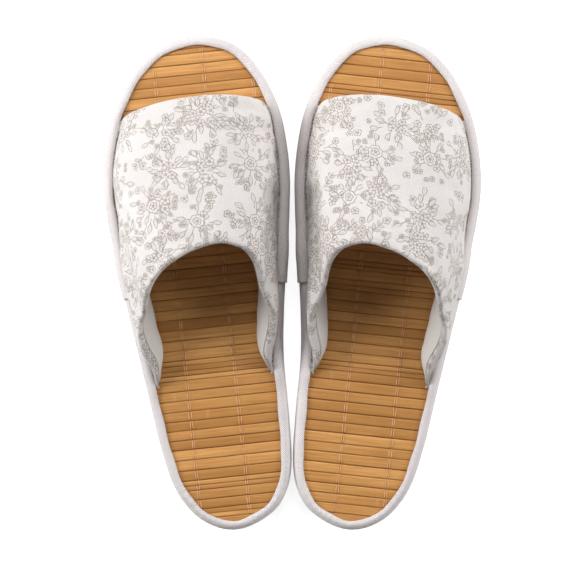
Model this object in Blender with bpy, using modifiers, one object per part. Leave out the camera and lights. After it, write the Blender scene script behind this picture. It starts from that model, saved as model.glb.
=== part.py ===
"""A pair of open-toe spa slippers with bamboo-slat insoles, in metres, +Z up, toes towards +Y.

Each slipper is built in its own frame as a left one: +X is the big-toe (inner) side, the origin is
on the floor at mid-length. A placement turns it outwards and mirrors it for the right foot. From the
floor up a slipper is an outsole, a bottom filler, a foam core, an insole board, a cushion and a mat
of bamboo slats tied by three threads. Two lengths of fabric tape bind the edge, one round the toe
and one round the heel, and hold down the edge of a padded, lined upper that is open at the toe.
"""

import math

import bmesh
import bpy
from mathutils import Matrix, Vector

# ---- driving dimensions ----
TOE_OUT_ANGLE = math.radians(6.0)  # each slipper's toe turns away from the other slipper
SLIPPER_OFFSET_X = 0.0415  # from the pair's middle plane to a slipper's own origin
SLIPPER_OFFSET_Y = 0.00044  # puts the pair's middle, heel to toe, at y 0
GAP = 0.0003  # clearance kept between touching pieces

OUTSOLE_THICKNESS = 0.0030
FILLER_THICKNESS = 0.0008
CORE_THICKNESS = 0.0060
CORE_CHAMFER = 0.0018
OUTSOLE_INSET = 0.0012  # each layer's edge, in from the sole's
CORE_INSET = 0.0024
CUSHION_INSET = 0.0028
MAT_INSET = 0.0030
BOARD_THICKNESS = 0.0015
CUSHION_THICKNESS = 0.0025
MAT_THICKNESS = 0.0020
SLAT_BACKING = 0.0008  # the cloth and glue under the slats, and the depth left between slats
SLAT_PITCH = 0.0055
SLAT_COUNT = 51  # before the mat is cut to the sole's outline
SLAT_LENGTH = 0.13
SLAT_EDGE = 0.0005  # how far a slat's top edge is eased

TAPE_THICKNESS = 0.0008
TAPE_INNER_EDGE = 0.0056  # from the sole's edge to the tape's inner edge on top
TAPE_UNDER_EDGE = 0.0090  # from the sole's edge to the tape's edge underneath
TAPE_JOIN_Y = -0.004  # where the toe tape ends and the heel tape starts
TAPE_OVERLAP = 0.010  # how much of the heel tape's end lies under the toe tape
TAPE_STATIONS = 44
END_CROWDING = 0.1  # how much nearer a tape's stations are at its ends, 0 to 0.15
LAP_SHARE = 0.020  # how much of a tape's end has the lapped shape, as a share of the sole's edge
LAP_EASE_SHARE = 0.030  # and how far the change to the plain shape takes
EASE_SHARE = 0.014  # how far the tape takes to rise over the upper's flange

ROOT_INSET = 0.0066  # from the sole's edge to where the upper rises
FLANGE_INSET = 0.0032  # how near the sole's edge the upper's flange reaches, under the tape
COVER_THICKNESS = 0.0008
LINING_THICKNESS = 0.0006
WALL_THICKNESS = 0.0034  # the cover, padding and lining together, at the upper's edges
WALL_FOOT_EXTRA = 0.0046  # the padding is this much thicker at the foot of the side wings
WALL_FOOT_HEIGHT = 0.024  # the extra thickness is gone this far above the insole
LAYER_GAP = 0.0006  # between the cover, the padding and the lining
PADDING_MARGIN = 0.035  # how far the padding stops short of the upper's edges, as a share of its length
LINING_MARGIN = 0.012
UPPER_COLUMNS = 20
UPPER_ROWS = 9
INSTEP_SLOPE = 0.92  # 1 is a straight crown line, less is a rounder one
VAULT_POWER = 0.87  # 1 is an ellipse, less is squarer in the shoulders
WING_FLARE = 0.0038  # how far the side wings bulge outwards
FLARE_WIDTH = 0.16  # as a share of the way over the foot, on either side
WING_REAR = (-0.0535, -0.032)  # the y where a wing's full foot and flare start, and where they are whole
WING_FRONT = (0.005, 0.045)  # the y where they start to lessen, and where they are gone
STEEPEST_CROWN = 1.15  # the crown stops rising behind this share of its way to the instep
SLOPE_STEP = 0.004  # how far apart the vault is measured for its slope
FRONT_CORNER_Y = 0.0937
FRONT_CROWN_Y = 0.0994
FRONT_LEAN = 1.15  # over 1 moves the toe opening's foremost point towards the inner side
FRONT_RISE = 0.028  # the toe opening's height above the insole
INSTEP_Y = 0.020
INSTEP_RISE = 0.059

THREAD_ROWS = {"lateral": -0.0218, "centre": 0.0050, "medial": 0.0314}
THREAD_RADIUS = 0.0004
THREAD_CLEARANCE = 0.0012  # from the upper's wall to a thread's end
MEDIAL_THREAD_START = 0.044  # ahead of the medial wing's thick foot
TACK_RADIUS = 0.0005
TACK_LENGTH = 0.0034
TACK_CLEARANCE = 0.0011  # from the wing's tip to its tack

PADDING_THICKEST = WALL_THICKNESS + WALL_FOOT_EXTRA

# ---- levels of the stack ----
FILLER_Z = OUTSOLE_THICKNESS + GAP
CORE_Z = FILLER_Z + FILLER_THICKNESS + GAP
BOARD_Z = CORE_Z + CORE_THICKNESS + GAP
CUSHION_Z = BOARD_Z + BOARD_THICKNESS + GAP
MAT_Z = CUSHION_Z + CUSHION_THICKNESS + GAP
MAT_TOP = MAT_Z + MAT_THICKNESS
ROOT_Z = MAT_TOP + GAP

# The sole's edge: heel tip first, up the inner side, round the toe and back down the outer side.
OUTLINE = [
    (-0.0020, -0.1362), (0.0195, -0.1270), (0.0295, -0.1080), (0.0318, -0.0780),
    (0.0325, -0.0420), (0.0372, -0.0050), (0.0434, 0.0320), (0.0464, 0.0640),
    (0.0425, 0.0980), (0.0262, 0.1268), (0.0005, 0.1358), (-0.0260, 0.1268),
    (-0.0462, 0.0995), (-0.0562, 0.0620), (-0.0548, 0.0240), (-0.0498, -0.0150),
    (-0.0448, -0.0520), (-0.0400, -0.0880), (-0.0335, -0.1130), (-0.0205, -0.1300),
]
RIM_STEPS = 400
PLATE_POINTS = 52
CURVE_STEPS = 16  # between two of the outline's points
HALVINGS = 30

# The collar, as (share of the way over the foot from the outer side, y of the upper's rear edge).
COLLAR = [
    (0.00, -0.0535), (0.06, -0.0345), (0.12, -0.0175), (0.24, -0.0020), (0.37, 0.0102),
    (0.55, INSTEP_Y), (0.69, 0.0162), (0.785, 0.0070), (0.86, -0.0095), (0.925, -0.0270), (1.00, -0.0520),
]

# The tape's outer face, as (distance in from the sole's edge, share of its height), top inner edge first.
TAPE_SECTION = [
    (TAPE_INNER_EDGE, 1.00), (0.0036, 1.035), (0.0014, 0.94), (0.0001, 0.68),
    (0.0001, 0.32), (0.0016, 0.05), (0.0040, 0.00), (TAPE_UNDER_EDGE, 0.00),
]
# The same at the heel tape's ends, which are trimmed where they go under the toe tape.
TAPE_TUCKED_SECTION = [
    (TAPE_INNER_EDGE, 1.00), (0.0036, 1.035), (0.0014, 0.94), (0.0001, 0.68),
    (0.0001, 0.47), (0.0002, 0.38), (0.0005, 0.31), (0.0012, 0.26),
]

MATERIALS = {
    "outsole_foam": ((0.55, 0.50, 0.45), 0.75),
    "filler_felt": ((0.62, 0.60, 0.56), 0.95),
    "core_foam": ((0.86, 0.85, 0.82), 0.85),
    "fibre_board": ((0.55, 0.42, 0.29), 0.90),
    "cushion_foam": ((0.90, 0.88, 0.80), 0.90),
    "bamboo": ((0.71, 0.48, 0.22), 0.55),
    "tie_thread": ((0.90, 0.74, 0.48), 0.80),
    "edge_tape": ((0.80, 0.76, 0.76), 0.92),
    "print_fabric": ((0.86, 0.83, 0.81), 0.90),
    "padding_foam": ((0.92, 0.91, 0.87), 0.90),
    "lining_fabric": ((0.88, 0.88, 0.86), 0.88),
    "tack_thread": ((0.90, 0.88, 0.86), 0.80),
}


# ---- small helpers ----
def smoothstep(low, high, value):
    """0 below low, 1 above high, and a smooth rise between them."""
    share = min(1.0, max(0.0, (value - low) / (high - low)))
    return share * share * (3.0 - 2.0 * share)


def catmull_rom(p0, p1, p2, p3, t):
    """A point t of the way from p1 to p2 on the smooth curve through all four."""
    return 0.5 * (
        2.0 * p1
        + (p2 - p0) * t
        + (2.0 * p0 - 5.0 * p1 + 4.0 * p2 - p3) * t * t
        + (3.0 * p1 - 3.0 * p2 + p3 - p0) * t * t * t
    )


def evenly_spaced(loop, count):
    """The closed loop again, with count points at equal steps along it."""
    ends = loop[1:] + loop[:1]
    lengths = [(b - a).length for a, b in zip(loop, ends)]
    step = sum(lengths) / count
    points, walked, wanted = [], 0.0, 0.0
    for a, b, length in zip(loop, ends, lengths):
        while wanted < walked + length and len(points) < count:
            points.append(a.lerp(b, (wanted - walked) / length))
            wanted += step
        walked += length
    return points


def sole_edge():
    """The sole's edge as evenly spaced points, from the heel tip up the inner side."""
    knots = [Vector(p) for p in OUTLINE]
    steps = [i / CURVE_STEPS for i in range(CURVE_STEPS)]
    fine = [
        catmull_rom(knots[k - 1], knots[k], knots[(k + 1) % len(knots)], knots[(k + 2) % len(knots)], t)
        for k in range(len(knots))
        for t in steps
    ]
    return evenly_spaced(fine, RIM_STEPS)


RIM = sole_edge()


def rim_point(share, inset):
    """The point share of the way round the sole's edge, moved inwards by inset."""
    place = (share % 1.0) * RIM_STEPS
    i = int(place) % RIM_STEPS
    point = RIM[i].lerp(RIM[(i + 1) % RIM_STEPS], place - int(place))
    along = (RIM[(i + 4) % RIM_STEPS] - RIM[i - 3]).normalized()
    return point + Vector((-along.y, along.x)) * inset


TOE_SHARE = max(range(RIM_STEPS), key=lambda i: RIM[i].y) / RIM_STEPS


def rim_share_at(y, inset, inner_side):
    """Where on one side of the inset edge its y is the one asked for, by halving."""
    low, high = (0.0, TOE_SHARE) if inner_side else (1.0, TOE_SHARE)
    for _ in range(HALVINGS):
        middle = (low + high) / 2
        if rim_point(middle, inset).y < y:
            low = middle
        else:
            high = middle
    return (low + high) / 2


def root_x(y, inner_side, inset=ROOT_INSET):
    """The x of the inset edge at y, on the inner or the outer side."""
    return rim_point(rim_share_at(y, inset, inner_side), inset).x


def collar_y(t):
    """The y of the upper's rear edge, t of the way over the foot from the outer side."""
    last = len(COLLAR) - 1
    k = next(i for i in range(last) if t <= COLLAR[i + 1][0] or i == last - 1)
    t1, t2 = COLLAR[k][0], COLLAR[k + 1][0]
    values = [COLLAR[min(max(i, 0), last)][1] for i in (k - 1, k, k + 1, k + 2)]
    return catmull_rom(*values, (t - t1) / (t2 - t1))


def front_y(t):
    """The y of the toe opening's edge, t of the way over the foot."""
    return FRONT_CORNER_Y + (FRONT_CROWN_Y - FRONT_CORNER_Y) * math.sin(math.pi * t**FRONT_LEAN)


def crown_rise(y):
    """How high the vault's crown is above the insole at y."""
    share = (FRONT_CROWN_Y - y) / (FRONT_CROWN_Y - INSTEP_Y)
    share = min(STEEPEST_CROWN, max(0.0, share))
    return FRONT_RISE + (INSTEP_RISE - FRONT_RISE) * share**INSTEP_SLOPE


def wing_share(y):
    """1 along the side wings, 0 ahead of them and at their rear tips."""
    return (1.0 - smoothstep(*WING_FRONT, y)) * smoothstep(*WING_REAR, y)


def vault_point(t, y):
    """A point on the upper's outer face, t of the way over the foot from the outer side."""
    outer, inner = root_x(y, False), root_x(y, True)
    angle = math.pi * min(1.0, max(0.0, t))
    reach = math.copysign(abs(math.cos(angle)) ** VAULT_POWER, math.cos(angle))
    low = min(t, 1.0 - t) / FLARE_WIDTH
    flare = WING_FLARE * wing_share(y) * math.sin(math.pi * min(1.0, max(0.0, low))) ** 2
    x = (outer + inner) / 2 - reach * ((inner - outer) / 2) - math.copysign(flare, reach)
    z = ROOT_Z + COVER_THICKNESS + crown_rise(y) * abs(math.sin(angle)) ** VAULT_POWER
    return Vector((x, y, z))


def vault_inside(t, y, depth):
    """The point depth inside the upper's outer face, and never below the insole."""
    t = min(1.0 - SLOPE_STEP, max(SLOPE_STEP, t))
    over = vault_point(t + SLOPE_STEP, y) - vault_point(t - SLOPE_STEP, y)
    along = vault_point(t, y + SLOPE_STEP) - vault_point(t, y - SLOPE_STEP)
    point = vault_point(t, y) - over.cross(along).normalized() * depth
    point.z = max(point.z, ROOT_Z)
    return point


def wall_thickness(t, y):
    """The upper's whole thickness: more at the foot of the side wings."""
    height = vault_point(t, y).z - ROOT_Z
    foot = max(0.0, 1.0 - height / WALL_FOOT_HEIGHT)
    return WALL_THICKNESS + WALL_FOOT_EXTRA * wing_share(y) * foot


class UpperFlange:
    """Where round the sole's edge the upper's flange lies under the tape."""

    def __init__(self):
        self.sides = []
        for inner in (True, False):
            rear = rim_share_at(COLLAR[0][1], ROOT_INSET, inner)
            front = rim_share_at(FRONT_CORNER_Y, ROOT_INSET, inner)
            self.sides.append((min(rear, front), max(rear, front)))

    def under(self, share):
        """1 where the flange is, easing to 0 past its ends."""
        at = share % 1.0
        return max(
            smoothstep(low - EASE_SHARE, low, at) * (1.0 - smoothstep(high, high + EASE_SHARE, at))
            for low, high in self.sides
        )


# ---- making objects ----
def clear_scene():
    """Removes what the scene holds, and makes the collections for the parts and the cutters."""
    for obj in list(bpy.data.objects):
        bpy.data.objects.remove(obj)
    made = []
    for name in ("spa_slippers", "cutters"):
        collection = bpy.data.collections.new(name)
        bpy.context.scene.collection.children.link(collection)
        made.append(collection)
    return made


def make_materials():
    """One plain material for each kind of stuff."""
    made = {}
    for name, (colour, roughness) in MATERIALS.items():
        material = bpy.data.materials.new(name)
        material.use_nodes = True
        shader = material.node_tree.nodes["Principled BSDF"]
        shader.inputs["Base Color"].default_value = (*colour, 1.0)
        shader.inputs["Roughness"].default_value = roughness
        made[name] = material
    return made


def add_object(name, data, material, collection):
    """Links a new object that holds this data."""
    obj = bpy.data.objects.new(name, data)
    obj.data.materials.append(material)
    collection.objects.link(obj)
    return obj


def filled_outline(name, points, thickness, chamfer=0.0):
    """A flat outline with a thickness, centred on its own XY plane, with its edges cut off by chamfer."""
    curve = bpy.data.curves.new(name, "CURVE")
    curve.dimensions = "2D"
    curve.fill_mode = "BOTH"
    curve.extrude = thickness / 2 - chamfer
    curve.bevel_depth = chamfer
    curve.bevel_resolution = 0
    curve.offset = -chamfer
    spline = curve.splines.new("POLY")
    spline.points.add(len(points) - 1)
    for point, (x, y) in zip(spline.points, points):
        point.co = (x, y, 0.0, 1.0)
    spline.use_cyclic_u = True
    return curve


def tube(name, points, radius):
    """A round thread through the points, with closed ends."""
    curve = bpy.data.curves.new(name, "CURVE")
    curve.dimensions = "3D"
    curve.bevel_depth = radius
    curve.bevel_resolution = 2
    curve.use_fill_caps = True
    spline = curve.splines.new("POLY")
    spline.points.add(len(points) - 1)
    for point, (x, y, z) in zip(spline.points, points):
        point.co = (x, y, z, 1.0)
    return curve


def mapped_grid(name, columns, rows, place):
    """A grid of columns by rows faces whose points go where place(u, v) says, u and v from 0 to 1."""
    mesh = bpy.data.meshes.new(name)
    grid = bmesh.new()
    bmesh.ops.create_grid(grid, x_segments=columns, y_segments=rows, size=0.5)
    for vertex in grid.verts:
        vertex.co = place(vertex.co.x + 0.5, vertex.co.y + 0.5)
    grid.to_mesh(mesh)
    grid.free()
    return mesh


def grid_values(columns, rows, value):
    """value(u, v) at each point of a grid, in the order of mapped_grid's points."""
    return [value(i / columns, j / rows) for j in range(rows + 1) for i in range(columns + 1)]


def add_shell(obj, thickness):
    """Gives an open surface its thickness, on the side that its normals point to."""
    shell = obj.modifiers.new("thickness", "SOLIDIFY")
    shell.thickness = thickness
    shell.offset = 1.0
    shell.solidify_mode = "NON_MANIFOLD"
    shell.nonmanifold_thickness_mode = "CONSTRAINTS"
    return shell


# ---- one slipper ----
class Slipper:
    """Builds the pieces of one slipper and puts them under an empty that places them."""

    def __init__(self, foot, parts, cutters, materials):
        self.foot = foot
        self.parts = parts
        self.cutters = cutters
        self.materials = materials
        side = -1.0 if foot == "left" else 1.0
        self.placement = bpy.data.objects.new(f"{foot}_placement", None)
        self.placement.location = (side * SLIPPER_OFFSET_X, SLIPPER_OFFSET_Y, 0.0)
        self.placement.rotation_euler = (0.0, 0.0, -side * TOE_OUT_ANGLE)
        self.placement.scale = (-side, 1.0, 1.0)
        parts.objects.link(self.placement)

    def add(self, name, data, material, z=0.0):
        """Adds a piece of this slipper."""
        obj = add_object(f"{self.foot}_{name}", data, self.materials[material], self.parts)
        obj.parent = self.placement
        obj.location.z = z
        return obj

    def plate(self, name, inset, base, thickness, material, chamfer=0.0):
        """A flat layer with the sole's outline, inset all round."""
        points = [rim_point(i / PLATE_POINTS, inset) for i in range(PLATE_POINTS)]
        curve = filled_outline(name, points, thickness, chamfer)
        return self.add(name, curve, material, base + thickness / 2)

    def sole_stack(self):
        """The flat layers under the bamboo mat."""
        self.plate("outsole", OUTSOLE_INSET, 0.0, OUTSOLE_THICKNESS, "outsole_foam")
        self.plate("bottom_filler", TAPE_UNDER_EDGE + GAP, FILLER_Z, FILLER_THICKNESS, "filler_felt")
        self.plate("foam_core", CORE_INSET, CORE_Z, CORE_THICKNESS, "core_foam", CORE_CHAMFER)
        self.plate("insole_board", CORE_INSET, BOARD_Z, BOARD_THICKNESS, "fibre_board")
        self.plate("insole_cushion", CUSHION_INSET, CUSHION_Z, CUSHION_THICKNESS, "cushion_foam")

    def bamboo_mat(self):
        """The slatted mat: a ribbed slab cut to the sole's outline."""
        start = -SLAT_COUNT * SLAT_PITCH / 2
        profile = [(start, 0.0)]
        for i in range(SLAT_COUNT):
            y = start + i * SLAT_PITCH
            profile += [
                (y, SLAT_BACKING),
                (y + SLAT_EDGE, MAT_THICKNESS),
                (y + SLAT_PITCH - SLAT_EDGE, MAT_THICKNESS),
            ]
        profile += [(-start, SLAT_BACKING), (-start, 0.0)]
        ribbed = self.add("bamboo_mat", filled_outline("slat_profile", profile, SLAT_LENGTH), "bamboo")
        ribbed.matrix_basis = (
            Matrix.Translation((0.0, 0.0, MAT_Z))
            @ Matrix(((0, 0, 1, 0), (1, 0, 0, 0), (0, 1, 0, 0), (0, 0, 0, 1)))
        )
        mat = self.as_mesh(ribbed)
        points = [rim_point(i / PLATE_POINTS, MAT_INSET) for i in range(PLATE_POINTS)]
        tall = 10 * MAT_THICKNESS
        outline = self.add("mat_outline", filled_outline("mat_outline", points, tall), "bamboo", MAT_Z)
        cutter = self.as_mesh(outline)
        self.parts.objects.unlink(cutter)
        self.cutters.objects.link(cutter)
        cutter.hide_render = True
        cutter.display_type = "WIRE"
        cut = mat.modifiers.new("cut_to_outline", "BOOLEAN")
        cut.operation = "INTERSECT"
        cut.object = cutter

    def as_mesh(self, obj):
        """The same piece as a mesh object, in the same place, with its caps welded on."""
        bpy.context.view_layer.update()
        graph = bpy.context.evaluated_depsgraph_get()
        mesh = bpy.data.meshes.new_from_object(obj.evaluated_get(graph))
        name, basis = obj.name, obj.matrix_basis.copy()
        bpy.data.objects.remove(obj)
        made = bpy.data.objects.new(name, mesh)
        self.parts.objects.link(made)
        made.parent = self.placement
        made.matrix_basis = basis
        welded = bmesh.new()
        welded.from_mesh(mesh)
        bmesh.ops.remove_doubles(welded, verts=welded.verts, dist=1e-6)
        bmesh.ops.recalc_face_normals(welded, faces=welded.faces)
        welded.to_mesh(mesh)
        welded.free()
        return made

    def tie_threads(self):
        """The threads that tie the slats together, one straight row each."""
        z = MAT_TOP + GAP + THREAD_RADIUS
        inset = ROOT_INSET + WALL_THICKNESS + THREAD_CLEARANCE
        edge = [rim_point(i / RIM_STEPS, inset) for i in range(RIM_STEPS)]
        for row, x in THREAD_ROWS.items():
            crossings = [p.y for p in edge if abs(p.x - x) < THREAD_CLEARANCE / 2]
            low, high = min(crossings), max(crossings)
            if row == "medial":
                low = MEDIAL_THREAD_START
            self.add(f"mat_thread_{row}", tube(row, [(x, low, z), (x, high, z)], THREAD_RADIUS), "tie_thread")

    def tape(self, name, start, end, tucked):
        """A length of edge tape from one share of the sole's edge to another.

        Its ends are tucked under the other tape's, or else they lie over them.
        """
        bottom = FILLER_Z
        length = end - start
        flange = UpperFlange()

        def place(u, v):
            index = round(v * (len(TAPE_SECTION) - 1))
            inset, height = TAPE_SECTION[index]
            along = u - END_CROWDING * math.sin(2.0 * math.pi * u)
            share = start + along * length
            from_end = min(along, 1.0 - along) * length
            near_end = 1.0 - smoothstep(LAP_SHARE, LAP_SHARE + LAP_EASE_SHARE, from_end)
            if tucked:
                inset += (TAPE_TUCKED_SECTION[index][0] - inset) * smoothstep(0.0, 0.5, near_end)
                height += (TAPE_TUCKED_SECTION[index][1] - height) * smoothstep(0.5, 1.0, near_end)
            top = MAT_TOP + GAP + TAPE_THICKNESS + (COVER_THICKNESS + GAP) * flange.under(share)
            z = bottom + (top - bottom) * height
            if not tucked:
                rise = (TAPE_THICKNESS + GAP) * near_end
                inset -= rise if 0 < index < 6 else 0.0
                z += rise if index < 3 else 0.0
            point = rim_point(share, inset)
            return Vector((point.x, point.y, z))

        mesh = mapped_grid(name, TAPE_STATIONS, len(TAPE_SECTION) - 1, place)
        add_shell(self.add(name, mesh, "edge_tape"), TAPE_THICKNESS)

    def tapes(self):
        """The toe tape, and the heel tape whose ends go under it."""
        toe_ends = [rim_share_at(TAPE_JOIN_Y, 0.0, inner) for inner in (True, False)]
        heel_ends = [rim_share_at(TAPE_JOIN_Y + TAPE_OVERLAP, 0.0, inner) for inner in (True, False)]
        self.tape("toe_binding", toe_ends[0], toe_ends[1], tucked=False)
        self.tape("heel_binding", heel_ends[1], 1.0 + heel_ends[0], tucked=True)

    def wing_tacks(self):
        """The short bar of thread that holds down the rear tip of each side wing."""
        z = MAT_TOP + GAP + TACK_RADIUS
        inset = ROOT_INSET + 2 * GAP
        for row, inner, tip_y in (("lateral", False, COLLAR[0][1]), ("medial", True, COLLAR[-1][1])):
            front = tip_y - TACK_CLEARANCE
            ends = []
            for y in (front, front - TACK_LENGTH):
                point = rim_point(rim_share_at(y, inset, inner), inset)
                ends.append((point.x, point.y, z))
            self.add(f"wing_tack_{row}", tube(row, ends, TACK_RADIUS), "tack_thread")

    def upper(self):
        """The printed cover with its flange under the tape, the padding and the lining."""

        def place_on_foot(column, v, margin):
            """The share over the foot and the y of a grid point, its end rows moved in by margin."""
            t = min(1.0, max(0.0, column / UPPER_COLUMNS))
            v = min(1.0 - margin, max(margin, v))
            return t, front_y(t) + (collar_y(t) - front_y(t)) * v

        def on_cover(u, v):
            column = round(u * (UPPER_COLUMNS + 2)) - 1
            t, y = place_on_foot(column, v, 0.0)
            if 0 <= column <= UPPER_COLUMNS:
                return vault_point(t, y)
            edge = rim_point(rim_share_at(y, FLANGE_INSET, column > 0), FLANGE_INSET)
            return Vector((edge.x, y, ROOT_Z + COVER_THICKNESS))

        def on_padding(u, v):
            t, y = place_on_foot(u * UPPER_COLUMNS, v, PADDING_MARGIN)
            return vault_inside(t, y, COVER_THICKNESS + LAYER_GAP)

        def on_lining(u, v):
            t, y = place_on_foot(u * UPPER_COLUMNS, v, LINING_MARGIN)
            return vault_inside(t, y, wall_thickness(t, y) - LINING_THICKNESS)

        def padding_share(u, v):
            t, y = place_on_foot(u * UPPER_COLUMNS, v, PADDING_MARGIN)
            taken = COVER_THICKNESS + LINING_THICKNESS + 2 * LAYER_GAP
            return (wall_thickness(t, y) - taken) / PADDING_THICKEST

        mesh = mapped_grid("cover", UPPER_COLUMNS + 2, UPPER_ROWS, on_cover)
        add_shell(self.add("upper_cover", mesh, "print_fabric"), COVER_THICKNESS)
        mesh = mapped_grid("padding", UPPER_COLUMNS, UPPER_ROWS, on_padding)
        padding = self.add("upper_padding", mesh, "padding_foam")
        group = padding.vertex_groups.new(name="thickness")
        for vertex, share in zip(mesh.vertices, grid_values(UPPER_COLUMNS, UPPER_ROWS, padding_share)):
            group.add([vertex.index], share, "REPLACE")
        add_shell(padding, PADDING_THICKEST).vertex_group = group.name
        mesh = mapped_grid("lining", UPPER_COLUMNS, UPPER_ROWS, on_lining)
        add_shell(self.add("upper_lining", mesh, "lining_fabric"), LINING_THICKNESS)

    def build(self):
        """Makes every piece of the slipper."""
        self.sole_stack()
        self.bamboo_mat()
        self.tie_threads()
        self.tapes()
        self.upper()
        self.wing_tacks()


def main():
    """Builds the pair."""
    parts, cutters = clear_scene()
    materials = make_materials()
    for foot in ("left", "right"):
        Slipper(foot, parts, cutters, materials).build()


main()
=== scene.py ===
"""The looks of a pair of open-toe spa slippers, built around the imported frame.

Every piece is worked out in a slipper's own coordinates, as for the left foot: +X is the big-toe side,
+Y the toe and +Z up, with the origin on the floor at mid-length. A Placement turns the points to where
the frame has that slipper, and mirrors them for the right foot. Lengths are in metres.
"""

import logging
import math
from dataclasses import dataclass, field
from enum import Enum
from typing import Callable, Sequence

import bmesh
import bpy
import numpy as np
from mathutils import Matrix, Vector


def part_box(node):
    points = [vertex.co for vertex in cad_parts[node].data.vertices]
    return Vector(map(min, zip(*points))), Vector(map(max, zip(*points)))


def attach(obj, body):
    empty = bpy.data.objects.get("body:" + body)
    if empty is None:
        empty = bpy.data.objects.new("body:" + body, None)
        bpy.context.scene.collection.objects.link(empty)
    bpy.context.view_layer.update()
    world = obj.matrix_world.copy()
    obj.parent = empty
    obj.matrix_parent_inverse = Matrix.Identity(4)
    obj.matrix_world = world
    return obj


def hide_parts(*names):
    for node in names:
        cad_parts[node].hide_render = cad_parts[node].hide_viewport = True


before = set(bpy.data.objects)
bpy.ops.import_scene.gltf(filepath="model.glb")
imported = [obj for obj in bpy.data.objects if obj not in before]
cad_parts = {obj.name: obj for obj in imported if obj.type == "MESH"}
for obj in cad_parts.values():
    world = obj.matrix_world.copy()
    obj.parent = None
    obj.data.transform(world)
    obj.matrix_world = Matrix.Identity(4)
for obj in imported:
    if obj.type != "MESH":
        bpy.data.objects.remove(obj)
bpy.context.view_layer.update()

log = logging.getLogger("slippers")
Array = np.ndarray
Colour = tuple[float, float, float]

MM = 0.001
MODEL_MIDDLE = (-0.004, -0.0009)  # where the camera stands over the pair
EDGE_POINTS = 1200
OUTSOLE_INSET = 1.2 * MM  # how far inside the sole's whole outline the outsole's edge is


class Foot(Enum):
    """Which foot a slipper is for."""

    LEFT = "left"
    RIGHT = "right"

    @property
    def body(self) -> str:
        """The frame's body that this slipper's pieces ride on."""
        return f"{self.value}_slipper"

    @property
    def seed(self) -> int:
        """The start of this slipper's random draws."""
        return 11 if self is Foot.LEFT else 47


# ---------------------------------------------------------------- shapes
def smooth(low: float, high: float, value: Array | float) -> Array:
    """0 below low, 1 above high, with a smooth rise between."""
    share = np.clip((np.asarray(value, float) - low) / (high - low), 0.0, 1.0)
    return share * share * (3.0 - 2.0 * share)


def unit(vectors: Array) -> Array:
    """Vectors along the last axis, each made one long."""
    return vectors / np.maximum(np.linalg.norm(vectors, axis=-1, keepdims=True), 1e-12)


def ripple(x: Array, y: Array, wavelength: float, seed: int, waves: int = 7) -> Array:
    """A smooth random field made of a few sine waves, about -1 to 1.

    Args:
        x, y: where it is read, in metres.
        wavelength: the size of its bumps.
        seed: picks the waves.
        waves: how many there are.
    Returns:
        The field's value at each point.
    """
    draws = np.random.default_rng(seed)
    total = np.zeros(np.broadcast(x, y).shape)
    for _ in range(waves):
        angle = draws.uniform(0.0, math.tau)
        stretch = math.tau / (wavelength * draws.uniform(0.7, 1.5))
        phase = draws.uniform(0.0, math.tau)
        total += np.sin((x * math.cos(angle) + y * math.sin(angle)) * stretch + phase)
    return total / math.sqrt(waves)


def joined(a: Array, b: Array, c: Array, d: Array, share: Array) -> Array:
    """The place some share of the way from b to c, on a smooth curve through a, b, c and d."""
    bent = (2 * a - 5 * b + 4 * c - d) * share**2 + (3 * b - a - 3 * c + d) * share**3
    return 0.5 * (2 * b + (c - a) * share + bent)


@dataclass(frozen=True)
class Placement:
    """Where the frame has one slipper."""

    foot: Foot
    origin: tuple[float, float] = (-0.0415, 0.00044)
    turn: float = math.radians(6.0)

    def place(self, points: Array) -> Array:
        """Slipper coordinates turned into the frame's."""
        points = np.asarray(points, float)
        cosine, sine = math.cos(self.turn), math.sin(self.turn)
        x = points[..., 0] * cosine - points[..., 1] * sine + self.origin[0]
        y = points[..., 0] * sine + points[..., 1] * cosine + self.origin[1]
        side = 1.0 if self.foot is Foot.LEFT else -1.0
        return np.stack([x * side, y, points[..., 2]], axis=-1)

    def local(self, points: Array) -> Array:
        """The frame's coordinates turned into slipper coordinates, for the left foot."""
        cosine, sine = math.cos(self.turn), math.sin(self.turn)
        x, y = points[..., 0] - self.origin[0], points[..., 1] - self.origin[1]
        return np.stack([x * cosine + y * sine, y * cosine - x * sine, points[..., 2]], axis=-1)


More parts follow.
